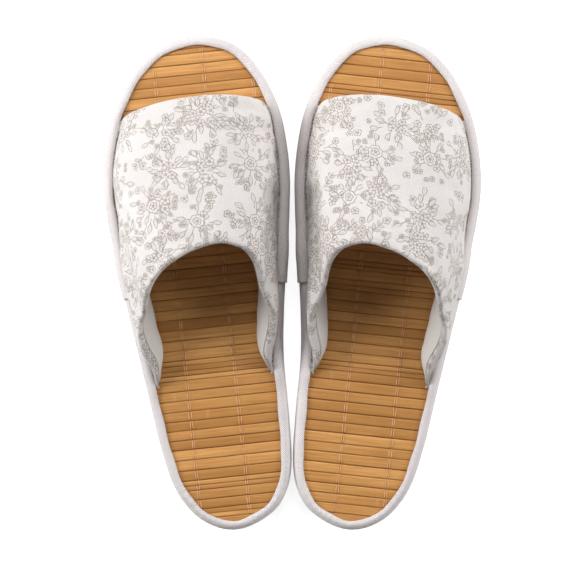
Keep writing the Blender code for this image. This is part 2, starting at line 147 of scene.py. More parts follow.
class SoleEdge:
    """The sole's outline, read from the frame's outsole, from the heel tip round by the inner side."""

    def __init__(self) -> None:
        """Reads the outline and spaces it evenly."""
        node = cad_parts["left_outsole"]
        corners = np.array([(node.matrix_world @ v.co)[:] for v in node.data.vertices])
        corners = Placement(Foot.LEFT).local(corners)
        upper = corners[corners[:, 2] > corners[:, 2].max() - 1e-5][:, :2]
        upper = np.unique(np.round(upper, 6), axis=0)
        angle = np.arctan2(upper[:, 1], upper[:, 0] + 0.003)
        upper = upper[np.argsort((angle + math.pi / 2) % math.tau)]
        fine = []
        steps = np.linspace(0.0, 1.0, 24, endpoint=False)[:, None]
        for k in range(len(upper)):
            fine.append(joined(*(upper[(k + i) % len(upper)] for i in (-1, 0, 1, 2)), steps))
        self.points, self.inwards = self.spaced(np.concatenate(fine))
        self.points, self.inwards = self.spaced(self.points - self.inwards * OUTSOLE_INSET)
        heel = int(np.argmin(self.points[:, 1]))
        self.points, self.inwards = np.roll(self.points, -heel, 0), np.roll(self.inwards, -heel, 0)
        self.toe = int(np.argmax(self.points[:, 1])) / EDGE_POINTS
        ends = np.roll(self.points, -1, 0)
        self.length = float(np.linalg.norm(ends - self.points, axis=1).sum())

    @staticmethod
    def spaced(loop: Array) -> tuple[Array, Array]:
        """A closed loop at even steps, and the directions inwards from it."""
        closed = np.vstack([loop, loop[:1]])
        walked = np.concatenate([[0.0], np.cumsum(np.linalg.norm(np.diff(closed, axis=0), axis=1))])
        places = np.linspace(0.0, walked[-1], EDGE_POINTS, endpoint=False)
        points = np.stack([np.interp(places, walked, closed[:, i]) for i in (0, 1)], axis=1)
        along = unit(np.roll(points, -4, 0) - np.roll(points, 4, 0))
        return points, np.stack([-along[:, 1], along[:, 0]], axis=1)

    def at(self, share: Array, inset: Array | float) -> Array:
        """Points some share of the way round the edge, moved inwards by inset."""
        place = (np.asarray(share) % 1.0) * EDGE_POINTS
        first = np.floor(place).astype(int) % EDGE_POINTS
        rest = (place - np.floor(place))[..., None]
        second = (first + 1) % EDGE_POINTS
        point = self.points[first] * (1 - rest) + self.points[second] * rest
        inwards = self.inwards[first] * (1 - rest) + self.inwards[second] * rest
        return point + inwards * np.asarray(inset)[..., None]

    def side_shares(self, inner: bool) -> Array:
        """Shares along one side, from the heel to the toe."""
        return np.linspace(0.0, self.toe, 400) if inner else np.linspace(1.0, self.toe, 400)

    def x_at(self, y: Array, inset: float, inner: bool) -> Array:
        """The x of the inset edge at y, on the inner or outer side."""
        points = self.at(self.side_shares(inner), inset)
        return np.interp(y, points[:, 1], points[:, 0])

    def share_at(self, y: float, inset: float, inner: bool) -> float:
        """How far round the edge one side of it reaches y."""
        shares = self.side_shares(inner)
        return float(np.interp(y, self.at(shares, inset)[:, 1], shares))


@dataclass(frozen=True)
class Levels:
    """Heights that the frame's pieces set."""

    outsole_top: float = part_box("left_outsole")[1].z
    mat_bottom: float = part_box("left_bamboo_mat")[0].z
    mat_top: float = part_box("left_bamboo_mat")[1].z

    @property
    def upper_root(self) -> float:
        """Where the upper's flange lies on the mat."""
        return self.mat_top + 0.3 * MM


EDGE = SoleEdge()
LEVELS = Levels()


# ---------------------------------------------------------------- meshes
def grid_faces(rows: int, columns: int, closed: bool = False) -> list[tuple[int, int, int, int]]:
    """The faces of a grid of points that is rows by columns, row after row.

    Args:
        rows, columns: the numbers of points.
        closed: joins each row's last point to its first.
    Returns:
        Each face's four points.
    """
    last = columns if closed else columns - 1
    return [
        (r * columns + c, r * columns + (c + 1) % columns,
         (r + 1) * columns + (c + 1) % columns, (r + 1) * columns + c)
        for r in range(rows - 1) for c in range(last)
    ]


def closed_faces(rows: int, columns: int) -> list[tuple[int, int, int, int]]:
    """The faces of a closed form made of two grids, one over the other, each row a ring round both.

    Args:
        rows, columns: the numbers of points of one of the grids.
    Returns:
        Each face's four points, with the first and last rings filled.
    """
    count = columns * 2
    faces = grid_faces(rows, count, closed=True)
    for first in (0, (rows - 1) * count):
        faces += [
            (first + i, first + i + 1, first + count - 2 - i, first + count - 1 - i)
            for i in range(columns - 1)
        ]
    return faces


def new_object(name: str, data: bpy.types.ID) -> bpy.types.Object:
    """An object made of the data, in the scene."""
    obj = bpy.data.objects.new(name, data)
    bpy.context.scene.collection.objects.link(obj)
    return obj


def lay_out(mesh: bpy.types.Mesh, uvs: Array) -> None:
    """Gives every corner of a mesh its point's place on the cloth, in metres."""
    layer = mesh.uv_layers.get("cloth") or mesh.uv_layers.new(name="cloth")
    corners = np.empty(len(mesh.loops), int)
    mesh.loops.foreach_get("vertex_index", corners)
    layer.data.foreach_set("uv", np.asarray(uvs, float).reshape(-1, 2)[corners].ravel())


def make_piece(
    name: str, points: Array, faces: Sequence[Sequence[int]], uvs: Array | None = None
) -> bpy.types.Object:
    """A smooth mesh object at the origin, with its normals pointing out.

    Args:
        name: the object's name.
        points: one row of x, y, z for each point, in the frame's coordinates.
        faces: the points of each face.
        uvs: one row of u, v for each point, in metres over the cloth.
    Returns:
        The new object.
    """
    mesh = bpy.data.meshes.new(name)
    mesh.from_pydata(np.asarray(points).reshape(-1, 3).tolist(), [], [tuple(f) for f in faces])
    if uvs is not None:
        lay_out(mesh, uvs)
    obj = new_object(name, mesh)
    shell = bmesh.new()
    shell.from_mesh(mesh)
    bmesh.ops.recalc_face_normals(shell, faces=shell.faces)
    shell.to_mesh(mesh)
    shell.free()
    mesh.shade_smooth()
    return obj


def thicken(obj: bpy.types.Object, thickness: float, offset: float = -1.0) -> None:
    """Gives an open surface its thickness, and applies it."""
    shell = obj.modifiers.new("thickness", "SOLIDIFY")
    shell.thickness = thickness
    shell.offset = offset
    bake(obj)


def bake(obj: bpy.types.Object) -> None:
    """Replaces an object's mesh with what its modifiers make of it, and removes them."""
    graph = bpy.context.evaluated_depsgraph_get()
    mesh = bpy.data.meshes.new_from_object(obj.evaluated_get(graph))
    obj.modifiers.clear()
    obj.data = mesh


def coordinates(mesh: bpy.types.Mesh) -> Array:
    """A mesh's points as an array."""
    flat = np.empty(len(mesh.vertices) * 3)
    mesh.vertices.foreach_get("co", flat)
    return flat.reshape(-1, 3)


def into_place(obj: bpy.types.Object, placement: Placement) -> bpy.types.Object:
    """Moves a piece made in slipper coordinates to the frame's, and turns its faces back out if mirrored."""
    mesh = obj.data
    mesh.vertices.foreach_set("co", placement.place(coordinates(mesh)).ravel())
    if placement.foot is Foot.RIGHT:
        mesh.flip_normals()
    mesh.update()
    return obj


# ---------------------------------------------------------------- node trees
@dataclass
class Num:
    """A number in a node tree, which arithmetic turns into Math nodes."""

    tree: bpy.types.NodeTree
    out: bpy.types.NodeSocket

    def op(self, kind: str, *others: "Num | float") -> "Num":
        """One Math node on this number and the others."""
        node = self.tree.nodes.new("ShaderNodeMath")
        node.operation = kind
        for socket, item in zip(node.inputs, (self, *others)):
            feed(self.tree, socket, item)
        return Num(self.tree, node.outputs[0])

    def __add__(self, other: "Num | float") -> "Num":
        """Sum."""
        return self.op("ADD", other)

    def __sub__(self, other: "Num | float") -> "Num":
        """Difference."""
        return self.op("SUBTRACT", other)

    def __mul__(self, other: "Num | float") -> "Num":
        """Product."""
        return self.op("MULTIPLY", other)

    def __truediv__(self, other: "Num | float") -> "Num":
        """Quotient."""
        return self.op("DIVIDE", other)

    def flip(self) -> "Num":
        """One minus this number."""
        return (self * -1.0) + 1.0

    def abs(self) -> "Num":
        """The size without its sign."""
        return self.op("ABSOLUTE")

    def sin(self) -> "Num":
        """Sine."""
        return self.op("SINE")

    def cos(self) -> "Num":
        """Cosine."""
        return self.op("COSINE")

    def floor(self) -> "Num":
        """The whole number below."""
        return self.op("FLOOR")

    def below(self, limit: "Num | float") -> "Num":
        """1 where this number is under the limit."""
        return self.op("LESS_THAN", limit)

    def above(self, limit: "Num | float") -> "Num":
        """1 where this number is over the limit."""
        return self.op("GREATER_THAN", limit)

    def most(self, other: "Num | float") -> "Num":
        """The larger of two."""
        return self.op("MAXIMUM", other)

    def least(self, other: "Num | float") -> "Num":
        """The smaller of two."""
        return self.op("MINIMUM", other)

    def fade(self, low: float, high: float) -> "Num":
        """0 at low and 1 at high, smooth between; low may be the larger."""
        node = self.tree.nodes.new("ShaderNodeMapRange")
        node.interpolation_type = "SMOOTHSTEP"
        feed(self.tree, node.inputs["Value"], self)
        node.inputs["From Min"].default_value = low
        node.inputs["From Max"].default_value = high
        return Num(self.tree, node.outputs["Result"])


def feed(tree: bpy.types.NodeTree, socket: bpy.types.NodeSocket, item: object) -> None:
    """Links a Num or an output to a socket, or sets the socket's own value."""
    if isinstance(item, Num):
        tree.links.new(item.out, socket)
    elif isinstance(item, bpy.types.NodeSocket):
        tree.links.new(item, socket)
    elif item is not None:
        socket.default_value = item


def add_node(
    tree: bpy.types.NodeTree, kind: str, settings: dict | None = None, **inputs: object
) -> bpy.types.Node:
    """A new node with its settings and inputs; an input's spaces are written as underscores."""
    node = tree.nodes.new(kind)
    for name, value in (settings or {}).items():
        setattr(node, name, value)
    for name, value in inputs.items():
        feed(tree, node.inputs[name.replace("_", " ")], value)
    return node


def vector(tree: bpy.types.NodeTree, x: object, y: object, z: object = 0.0) -> bpy.types.NodeSocket:
    """Three numbers as one vector."""
    return add_node(tree, "ShaderNodeCombineXYZ", X=x, Y=y, Z=z).outputs[0]


def vector_math(tree: bpy.types.NodeTree, kind: str, *items: object) -> bpy.types.NodeSocket:
    """One Vector Math node on the items, in order."""
    node = add_node(tree, "ShaderNodeVectorMath", {"operation": kind})
    for socket, item in zip(node.inputs, items):
        feed(tree, socket, item)
    return node.outputs[0]


def attribute(tree: bpy.types.NodeTree, name: str) -> Num:
    """A mesh attribute's number, in a material."""
    return Num(tree, add_node(tree, "ShaderNodeAttribute", {"attribute_name": name}).outputs["Fac"])


def parts_of(tree: bpy.types.NodeTree, item: bpy.types.NodeSocket) -> tuple[Num, Num, Num]:
    """A vector's three numbers."""
    node = add_node(tree, "ShaderNodeSeparateXYZ", Vector=item)
    return tuple(Num(tree, out) for out in node.outputs)


def noise(tree: bpy.types.NodeTree, at: bpy.types.NodeSocket, scale: float, detail: float = 2.0) -> Num:
    """Smooth noise, about 0.25 to 0.75."""
    node = add_node(tree, "ShaderNodeTexNoise", Vector=at, Scale=scale, Detail=detail)
    return Num(tree, node.outputs[0])


def mixed(tree: bpy.types.NodeTree, share: Num, first: object, second: object) -> bpy.types.NodeSocket:
    """A colour between two, by share."""
    node = add_node(tree, "ShaderNodeMix", {"data_type": "RGBA"})
    feed(tree, node.inputs[0], share)
    for socket, item in ((node.inputs[6], first), (node.inputs[7], second)):
        feed(tree, socket, (*item, 1.0) if isinstance(item, tuple) else item)
    return node.outputs[2]


def new_group(
    name: str, kind: str, inputs: dict[str, tuple[str, object]], outputs: dict[str, str]
) -> tuple[bpy.types.NodeTree, bpy.types.Node, bpy.types.Node]:
    """A node group with its sockets.

    Args:
        name: the group's name.
        kind: the type of its tree.
        inputs: each input's socket type and default value, by name.
        outputs: each output's socket type, by name.
    Returns:
        The tree, its input node and its output node.
    """
    tree = bpy.data.node_groups.new(name, kind)
    for socket_name, (socket_type, default) in inputs.items():
        socket = tree.interface.new_socket(socket_name, in_out="INPUT", socket_type=socket_type)
        if default is not None:
            socket.default_value = default
    for socket_name, socket_type in outputs.items():
        tree.interface.new_socket(socket_name, in_out="OUTPUT", socket_type=socket_type)
    return tree, tree.nodes.new("NodeGroupInput"), tree.nodes.new("NodeGroupOutput")


FLOAT, VECTOR, GEOMETRY = "NodeSocketFloat", "NodeSocketVector", "NodeSocketGeometry"


# ---------------------------------------------------------------- shared shader groups
def twill_group() -> bpy.types.NodeTree:
    """Diagonal twill: a height and a shade that is 1 on the ribs and lower between them."""
    tree, start, end = new_group(
        "twill weave", "ShaderNodeTree",
        {"Cloth": (VECTOR, None), "Rib Width": (FLOAT, 0.0007)},
        {"Height": FLOAT, "Shade": FLOAT},
    )
    u, v, _ = parts_of(tree, start.outputs["Cloth"])
    width = Num(tree, start.outputs["Rib Width"])
    wander = noise(tree, start.outputs["Cloth"], 120.0) * 0.8
    rib = (((u + v) / width + wander) * math.tau).sin() * 0.5 + 0.5
    pick = (((v - u * 0.35) / width) * (2.0 * math.tau)).sin() * 0.5 + 0.5
    slub = noise(tree, start.outputs["Cloth"], 900.0, 3.0)
    height = rib * 0.8 + pick * 0.2 + slub * 0.25
    feed(tree, end.inputs["Height"], height)
    feed(tree, end.inputs["Shade"], rib.fade(0.0, 0.8) * 0.78 + slub.fade(0.3, 0.6) * 0.22)
    return tree


@dataclass(frozen=True)
class PrintMotifs:
    """Sizes of the printed blossoms, leaves and sprigs, drawn in line, each hiding what is behind it."""

    line: float = 0.41 * MM
    shake: float = 1.6 * MM  # how far the hand that drew it wandered
    blossom_cell: float = 4.9 * MM
    bunch_cell: float = 25.0 * MM
    bunch_spread: float = 0.62
    large_share: float = 0.72  # bunches whose own number is above it have a large blossom in the middle
    petal_out: float = 0.60  # a petal's middle, its radius, and the eye, as shares of a blossom's radius
    petal_radius: float = 0.40
    eye: float = 0.17
    sprig_cell: float = 14.0 * MM
    sprig_half: float = 5.2 * MM
    leaf_pitch: float = 3.5 * MM
    leaf_length: float = 4.6 * MM
    leaf_half_width: float = 0.80 * MM
    leaf_slant: float = 0.7071
    sprig_turn: float = 6.283

    def inked(self, distance: Num, width: float | None = None) -> Num:
        """1 on a line where the distance is about 0."""
        half = (width or self.line) / 2
        return distance.abs().fade(half * 1.35, half * 0.65)

    @staticmethod
    def over(first: tuple[Num, Num], second: tuple[Num, Num]) -> tuple[Num, Num]:
        """Two motifs as (ink, covered ground), the first in front of the second."""
        return first[0].most(second[0] * first[1].flip()), first[1].most(second[1])

    @staticmethod
    def cells(
        tree: bpy.types.NodeTree, at: bpy.types.NodeSocket, cell: float, shift: float, spread: float
    ) -> tuple[Num, Num, tuple[Num, Num, Num], bpy.types.NodeSocket]:
        """Scattered centres about a cell apart.

        Args:
            tree: the node tree.
            at: where they are looked for, in metres.
            cell: the usual spacing.
            shift: moves the whole scatter.
            spread: how irregular it is, 0 to 1.
        Returns:
            The way from the nearest centre (x, y), three random numbers of its own, and its place.
        """
        offset = (shift, shift * 0.7, 0.0)
        moved = vector_math(tree, "ADD", at, offset)
        node = add_node(
            tree, "ShaderNodeTexVoronoi", {"voronoi_dimensions": "2D"},
            Vector=moved, Scale=1.0 / cell, Randomness=spread,
        )
        middle = node.outputs["Position"]
        dx, dy, _ = parts_of(tree, vector_math(tree, "SUBTRACT", moved, middle))
        centre = vector_math(tree, "SUBTRACT", middle, offset)
        return dx, dy, parts_of(tree, node.outputs["Color"]), centre

    def bunch(self, tree: bpy.types.NodeTree, at: bpy.types.NodeSocket) -> tuple:
        """The nearest bunch: the way from its middle, its own numbers, and how far off it is."""
        dx, dy, draws, _ = self.cells(tree, at, self.bunch_cell, 0.0, self.bunch_spread)
        return dx, dy, draws, (dx * dx + dy * dy).op("SQRT")

    def blossom(self, dx: Num, dy: Num, spin: Num, size: Num | float, petals: int) -> tuple[Num, Num]:
        """A blossom of round petals about a small eye.

        Args:
            dx, dy: the way from its middle.
            spin: turns it.
            size: its radius.
            petals: how many it has.
        Returns:
            Its ink and the ground it covers.
        """
        reach = (dx * dx + dy * dy).op("SQRT")
        sector = math.tau / petals
        turn = (dy.op("ARCTAN2", dx) + spin) / sector
        angle = (turn - turn.floor() - 0.5) * sector
        out, side = reach * angle.cos(), reach * angle.sin()
        far = out - size * self.petal_out
        ring = (far * far + side * side).op("SQRT")
        petal = size * self.petal_radius
        outline = self.inked(ring - petal)
        vein = self.inked(side, self.line * 0.5) * far.above(petal * -0.9) * far.below(petal * 0.1)
        heart = reach.below(size * self.eye)
        ink = outline.most(vein * 0.4) * heart.flip()
        ink = ink.most(self.inked(reach - size * self.eye, self.line * 0.9))
        return ink, ring.below(petal).most(reach.below(size * 0.45))

    def blossoms(
        self, tree: bpy.types.NodeTree, at: bpy.types.NodeSocket, cell: float, shift: float,
        wanted: Callable[[bpy.types.NodeSocket, tuple], Num],
    ) -> tuple[Num, Num]:
        """Scattered five-petalled blossoms.

        Args:
            tree: the node tree.
            at: the place on the cloth.
            cell: their usual spacing.
            shift: moves the whole scatter.
            wanted: says, from a centre and its numbers, whether a blossom is there.
        Returns:
            Their ink and ground.
        """
        dx, dy, draws, centre = self.cells(tree, at, cell, shift, 0.42)
        ink, ground = self.blossom(dx, dy, draws[0] * 6.0, (draws[1] * 0.12 + 0.43) * cell, 5)
        here = wanted(centre, draws)
        return ink * here, ground * here

    def leaf(self, along: Num, across: Num, half_width: float) -> tuple[Num, Num]:
        """A leaf's ink and ground, along from 0 to 1 and across in metres."""
        belly = (along.least(1.0).most(0.0) * math.pi).sin().op("POWER", 0.85) * half_width
        within = along.above(0.0) * along.below(1.0)
        side = self.inked(across.abs() - belly)
        rib = self.inked(across, self.line * 0.6) * along.below(0.8) * 0.6
        return side.most(rib) * within, across.abs().below(belly) * within

    def leaf_ring(
        self, tree: bpy.types.NodeTree, at: bpy.types.NodeSocket, leaves: int, start: float,
        length: float, spin: float, density: float,
    ) -> tuple[Num, Num]:
        """Leaves that stand out all round a bunch.

        Args:
            tree: the node tree.
            at: the place on the cloth.
            leaves: how many fit round it.
            start: how far from the bunch's middle they begin.
            length: how long they are.
            spin: turns the ring.
            density: the share of them that is there.
        Returns:
            Their ink and ground.
        """
        dx, dy, draws, reach = self.bunch(tree, at)
        turn = (dy.op("ARCTAN2", dx) / math.tau + draws[0] + spin) * float(leaves)
        place = turn.floor()
        own = add_node(tree, "ShaderNodeTexWhiteNoise", {"noise_dimensions": "2D"},
                       Vector=vector(tree, place - (place / leaves).floor() * leaves, draws[1] * 91.0))
        pick, vary, lean = parts_of(tree, own.outputs["Color"])
        angle = (turn - place - 0.5) * (math.tau / leaves)
        along = (reach - (vary * 0.3 + 0.85) * start) / ((vary * 0.4 + 0.75) * length)
        bend = along.most(0.0) * along * (lean - 0.5) * (2.0 * MM)
        across = reach * angle.sin() + bend
        ink, ground = self.leaf(along, across, 0.17 * length + 0.16 * MM)
        stalk = self.inked(across) * along.below(0.0) * along.above(-0.5)
        here = pick.below(density)
        return ink.most(stalk) * here, ground * here

    def sprigs(self, tree: bpy.types.NodeTree, at: bpy.types.NodeSocket) -> tuple[Num, Num]:
        """Bent stems with leaves in pairs, scattered between the bunches."""
        dx, dy, draws, _ = self.cells(tree, at, self.sprig_cell, 0.37, 0.6)
        turn = draws[0] * self.sprig_turn
        along = dx * turn.cos() + dy * turn.sin()
        across = dy * turn.cos() - dx * turn.sin() + along * along * ((draws[1] - 0.5) * 60.0)
        half, pitch = self.sprig_half, self.leaf_pitch
        stem = self.inked(across, self.line * 0.9) * along.abs().below(half)
        side = across.abs()
        slant = along - side
        offset = slant - ((slant / pitch).floor() + 0.5) * pitch
        blade = (offset + side * 2.0) * self.leaf_slant
        base = slant - offset
        length = (base + half) * -0.17 + self.leaf_length
        ink, ground = self.leaf(blade / length, offset * self.leaf_slant, self.leaf_half_width)
        fits = base.above(-half) * base.below(half * 0.8)
        here = draws[2].above(0.40)
        return stem.most(ink * fits) * here, ground * fits * here

    def build(self) -> bpy.types.NodeTree:
        """The group: a place on the cloth in, and how much ink lies there out."""
        tree, start, end = new_group(
            "blossom print", "ShaderNodeTree", {"Cloth": (VECTOR, None)}, {"Ink": FLOAT}
        )
        at = start.outputs["Cloth"]
        bend = add_node(tree, "ShaderNodeTexNoise", Vector=at, Scale=170.0, Detail=1.0)
        hand = vector_math(tree, "MULTIPLY_ADD", bend.outputs["Color"], (self.shake, self.shake, 0.0), at)
        near = 0.27 * self.bunch_cell

        def in_bunch(centre: bpy.types.NodeSocket, draws: tuple) -> Num:
            """1 for a blossom near the middle of a bunch, unless a large one is there."""
            _, _, own, reach = self.bunch(tree, centre)
            large = own[2].above(self.large_share) * reach.below(4.6 * MM)
            return reach.below((own[1] * 0.4 + 0.75) * near) * draws[2].below(0.95) * large.flip()

        def stray(centre: bpy.types.NodeSocket, draws: tuple) -> Num:
            """1 for the few blossoms that stand between bunches."""
            return draws[2].below(0.15)

        def bud(centre: bpy.types.NodeSocket, draws: tuple) -> Num:
            """1 for the small buds round a bunch."""
            reach = self.bunch(tree, centre)[3]
            return reach.above(near) * reach.below(2.1 * near) * draws[2].below(0.22)

        dx, dy, own, reach = self.bunch(tree, hand)
        large = own[2].above(self.large_share)
        ink, ground = self.blossom(dx, dy, own[0] * 6.0, 3.9 * MM, 7)
        inner, heart = self.blossom(dx, dy, own[0] * 6.0 + 0.6, 2.2 * MM, 5)
        ink, ground = self.over((inner, heart), (ink, ground))
        drawn = (ink * large, ground * large)
        for motif in (
            self.blossoms(tree, hand, self.blossom_cell, 0.0, in_bunch),
            self.leaf_ring(tree, hand, 9, 6.0 * MM, 5.4 * MM, 0.0, 0.75),
            self.leaf_ring(tree, hand, 8, 9.6 * MM, 5.8 * MM, 0.31, 0.60),
            self.blossoms(tree, hand, self.blossom_cell * 0.62, 0.21, bud),
            self.blossoms(tree, hand, self.blossom_cell * 0.9, 0.53, stray),
            self.sprigs(tree, hand),
        ):
            drawn = self.over(drawn, motif)
        patchy = noise(tree, at, 900.0, 3.0).fade(0.3, 0.5) * 0.25 + 0.75
        feed(tree, end.inputs["Ink"], drawn[0] * patchy)
        return tree


def grain_group() -> bpy.types.NodeTree:
    """Bamboo's fibres along a slat: streaks and a height, from the place on the slat and its own number."""
    tree, start, end = new_group(
        "bamboo grain", "ShaderNodeTree",
        {"Slat": (VECTOR, None), "Own": (FLOAT, 0.5), "Knot": (FLOAT, 1.0)},
        {"Streaks": FLOAT, "Blotches": FLOAT, "Knot Mark": FLOAT, "Height": FLOAT},
    )
    x, y, _ = parts_of(tree, start.outputs["Slat"])
    own = Num(tree, start.outputs["Own"]) * 37.0
    fine = noise(tree, vector(tree, x * 70.0, y * 5200.0, own), 1.0, 3.0)
    broad = noise(tree, vector(tree, x * 22.0, y * 900.0, own + 5.0), 1.0, 2.0)
    blotch = noise(tree, vector(tree, x * 35.0, y * 60.0, own + 9.0), 1.0, 2.0)
    gap = x - Num(tree, start.outputs["Knot"])
    uneven = noise(tree, vector(tree, y * 700.0, own), 1.0) * (3.0 * MM) - 1.5 * MM
    ring = (gap + uneven).abs().fade(1.5 * MM, 0.1 * MM)
    feed(tree, end.inputs["Streaks"], fine.fade(0.35, 0.65) * 0.6 + broad.fade(0.35, 0.65) * 0.4)
    feed(tree, end.inputs["Blotches"], blotch.fade(0.35, 0.7))
    feed(tree, end.inputs["Knot Mark"], ring)
    feed(tree, end.inputs["Height"], fine * 0.5 + broad * 0.5 + ring * 0.9)
    return tree


def wear_group() -> bpy.types.NodeTree:
    """Soiling and handling: a slow mottling over a whole piece."""
    tree, start, end = new_group(
        "handling", "ShaderNodeTree",
        {"Place": (VECTOR, None), "Patch Size": (FLOAT, 0.03)}, {"Mottle": FLOAT},
    )
    size = Num(tree, start.outputs["Patch Size"])
    scaled = vector_math(tree, "DIVIDE", start.outputs["Place"], vector(tree, size, size, size))
    slow = noise(tree, scaled, 1.0, 3.0)
    feed(tree, end.inputs["Mottle"], slow.fade(0.32, 0.68))
    return tree


class Groups:
    """The shader groups that more than one finish places, each made once."""

    made: dict[str, bpy.types.NodeTree] = {}
    makers: dict[str, Callable[[], bpy.types.NodeTree]] = {
        "twill": twill_group,
        "print": lambda: PrintMotifs().build(),
        "grain": grain_group,
        "handling": wear_group,
    }

    @classmethod
    def placed(cls, tree: bpy.types.NodeTree, name: str, **inputs: object) -> bpy.types.Node:
        """A node that uses one of the groups in a material's tree."""
        if name not in cls.made:
            cls.made[name] = cls.makers[name]()
        node = tree.nodes.new("ShaderNodeGroup")
        node.node_tree = cls.made[name]
        for socket, item in inputs.items():
            feed(tree, node.inputs[socket.replace("_", " ")], item)
        return node


# ---------------------------------------------------------------- finishes
@dataclass(frozen=True)
class Finish:
    """A material and how it is made; each kind fills in dress."""

    name: str
    slot: str
    colour: Colour
    roughness: float = 0.85

    def make(self) -> bpy.types.Material:
        """The material, made on first use."""
        known = bpy.data.materials.get(self.name)
        if known is not None:
            return known
        material = bpy.data.materials.new(self.name)
        material.use_nodes = True
        tree = material.node_tree
        shader = tree.nodes["Principled BSDF"]
        shader.inputs["Roughness"].default_value = self.roughness
        self.dress(tree, shader)
        return material

    def dress(self, tree: bpy.types.NodeTree, shader: bpy.types.Node) -> None:
        """Adds this finish's own nodes."""
        raise NotImplementedError

    def bump(self, tree: bpy.types.NodeTree, shader: bpy.types.Node, height: Num, depth: float) -> None:
        """Feeds a height to the shader's normal, depth metres deep."""
        node = add_node(tree, "ShaderNodeBump", Height=height, Strength=0.9, Distance=depth)
        feed(tree, shader.inputs["Normal"], node.outputs[0])

    @staticmethod
    def place(tree: bpy.types.NodeTree) -> bpy.types.NodeSocket:
        """The piece's own coordinates."""
        return add_node(tree, "ShaderNodeTexCoord").outputs["Object"]

    @staticmethod
    def cloth(tree: bpy.types.NodeTree) -> bpy.types.NodeSocket:
        """The place on the cloth, in metres."""
        return add_node(tree, "ShaderNodeUVMap", {"uv_map": "cloth"}).outputs[0]


@dataclass(frozen=True)
class Cloth(Finish):
    """Woven cloth, plain or printed."""

    shade: Colour = (0.60, 0.55, 0.54)
    ink: Colour | None = None
    rib: float = 1.25 * MM
    depth: float = 0.16 * MM
    sheen: float = 0.25

    def dress(self, tree: bpy.types.NodeTree, shader: bpy.types.Node) -> None:
        """Twill, mottling and, where there is ink, the print."""
        cloth = self.cloth(tree)
        weave = Groups.placed(tree, "twill", Cloth=cloth, Rib_Width=self.rib)
        wear = Groups.placed(tree, "handling", Place=self.place(tree), Patch_Size=0.035)
        mottle = Num(tree, wear.outputs[0])
        tone = Num(tree, weave.outputs["Shade"]) * 0.85 + mottle * 0.15
        colour = mixed(tree, tone, self.shade, self.colour)
        if self.ink is not None:
            ink = Num(tree, Groups.placed(tree, "print", Cloth=cloth).outputs["Ink"])
            worn = Num(tree, weave.outputs["Shade"]) * 0.3 + 0.7
            colour = mixed(tree, ink * worn, colour, self.ink)
        feed(tree, shader.inputs["Base Color"], colour)
        shader.inputs["Sheen Weight"].default_value = self.sheen
        shader.inputs["Sheen Roughness"].default_value = 0.6
        shader.inputs["Specular IOR Level"].default_value = 0.25
        feed(tree, shader.inputs["Roughness"], mottle * 0.1 + (self.roughness - 0.05))
        self.bump(tree, shader, Num(tree, weave.outputs["Height"]), self.depth)


@dataclass(frozen=True)
class Bamboo(Finish):
    """Carbonised bamboo, each slat with its own tone."""

    pale: Colour = (0.82, 0.430, 0.142)
    dark: Colour = (0.36, 0.14, 0.034)

    def dress(self, tree: bpy.types.NodeTree, shader: bpy.types.Node) -> None:
        """Tone by slat, fibres along it, painted shade darkening the edges where the slats meet, and a knot
        here and there.
        """
        tone, knot, edge = (attribute(tree, name) for name in ("tone", "knot", "side"))
        grain = Groups.placed(tree, "grain", Slat=self.cloth(tree), Own=tone, Knot=knot)
        streaks, blotches, mark, height = (Num(tree, out) for out in grain.outputs)
        body = mixed(tree, tone, self.colour, self.pale)
        body = mixed(tree, streaks.flip() * 0.60 + blotches * 0.16, body, self.dark)
        body = mixed(tree, mark * 0.25, body, (0.66, 0.42, 0.18))
        # painted shade: each slat's long edges darken towards near-black brown, for the shade in the gaps
        # between slats
        body = mixed(tree, edge.abs().fade(0.92, 1.0) * 0.5, body, (0.17, 0.06, 0.015))
        feed(tree, shader.inputs["Base Color"], body)
        feed(tree, shader.inputs["Roughness"], streaks * 0.16 + (self.roughness - 0.08))
        shader.inputs["Specular IOR Level"].default_value = 0.35
        self.bump(tree, shader, height, 0.10 * MM)


@dataclass(frozen=True)
class Yarn(Finish):
    """Twisted sewing or tying thread, with painted shade where it dips into a gap or into the cloth."""

    # painted shade: the colour the thread takes where it dips
    dip_shade_colour: Colour = (0.60, 0.19, 0.05)

    def dress(self, tree: bpy.types.NodeTree, shader: bpy.types.Node) -> None:
        """Twisted strands along the thread, and painted shade near its ends, where it dips."""
        dip = attribute(tree, "dip")
        place = self.place(tree)
        x, y, z = parts_of(tree, place)
        twist = ((x + y * 0.8 + z * 0.6) * (math.tau / (0.35 * MM))).sin() * 0.5 + 0.5
        fuzz = noise(tree, place, 3200.0, 2.0)
        base = mixed(tree, twist * 0.35 + fuzz * 0.2, self.colour, tuple(c * 0.62 for c in self.colour))
        # painted shade: darker towards the ends, where the thread goes down between slats or into the cloth
        base = mixed(tree, dip.fade(0.35, 0.95), base, self.dip_shade_colour)
        feed(tree, shader.inputs["Base Color"], base)
        shader.inputs["Sheen Weight"].default_value = 0.2
        self.bump(tree, shader, twist * 0.6 + fuzz * 0.5, 0.08 * MM)


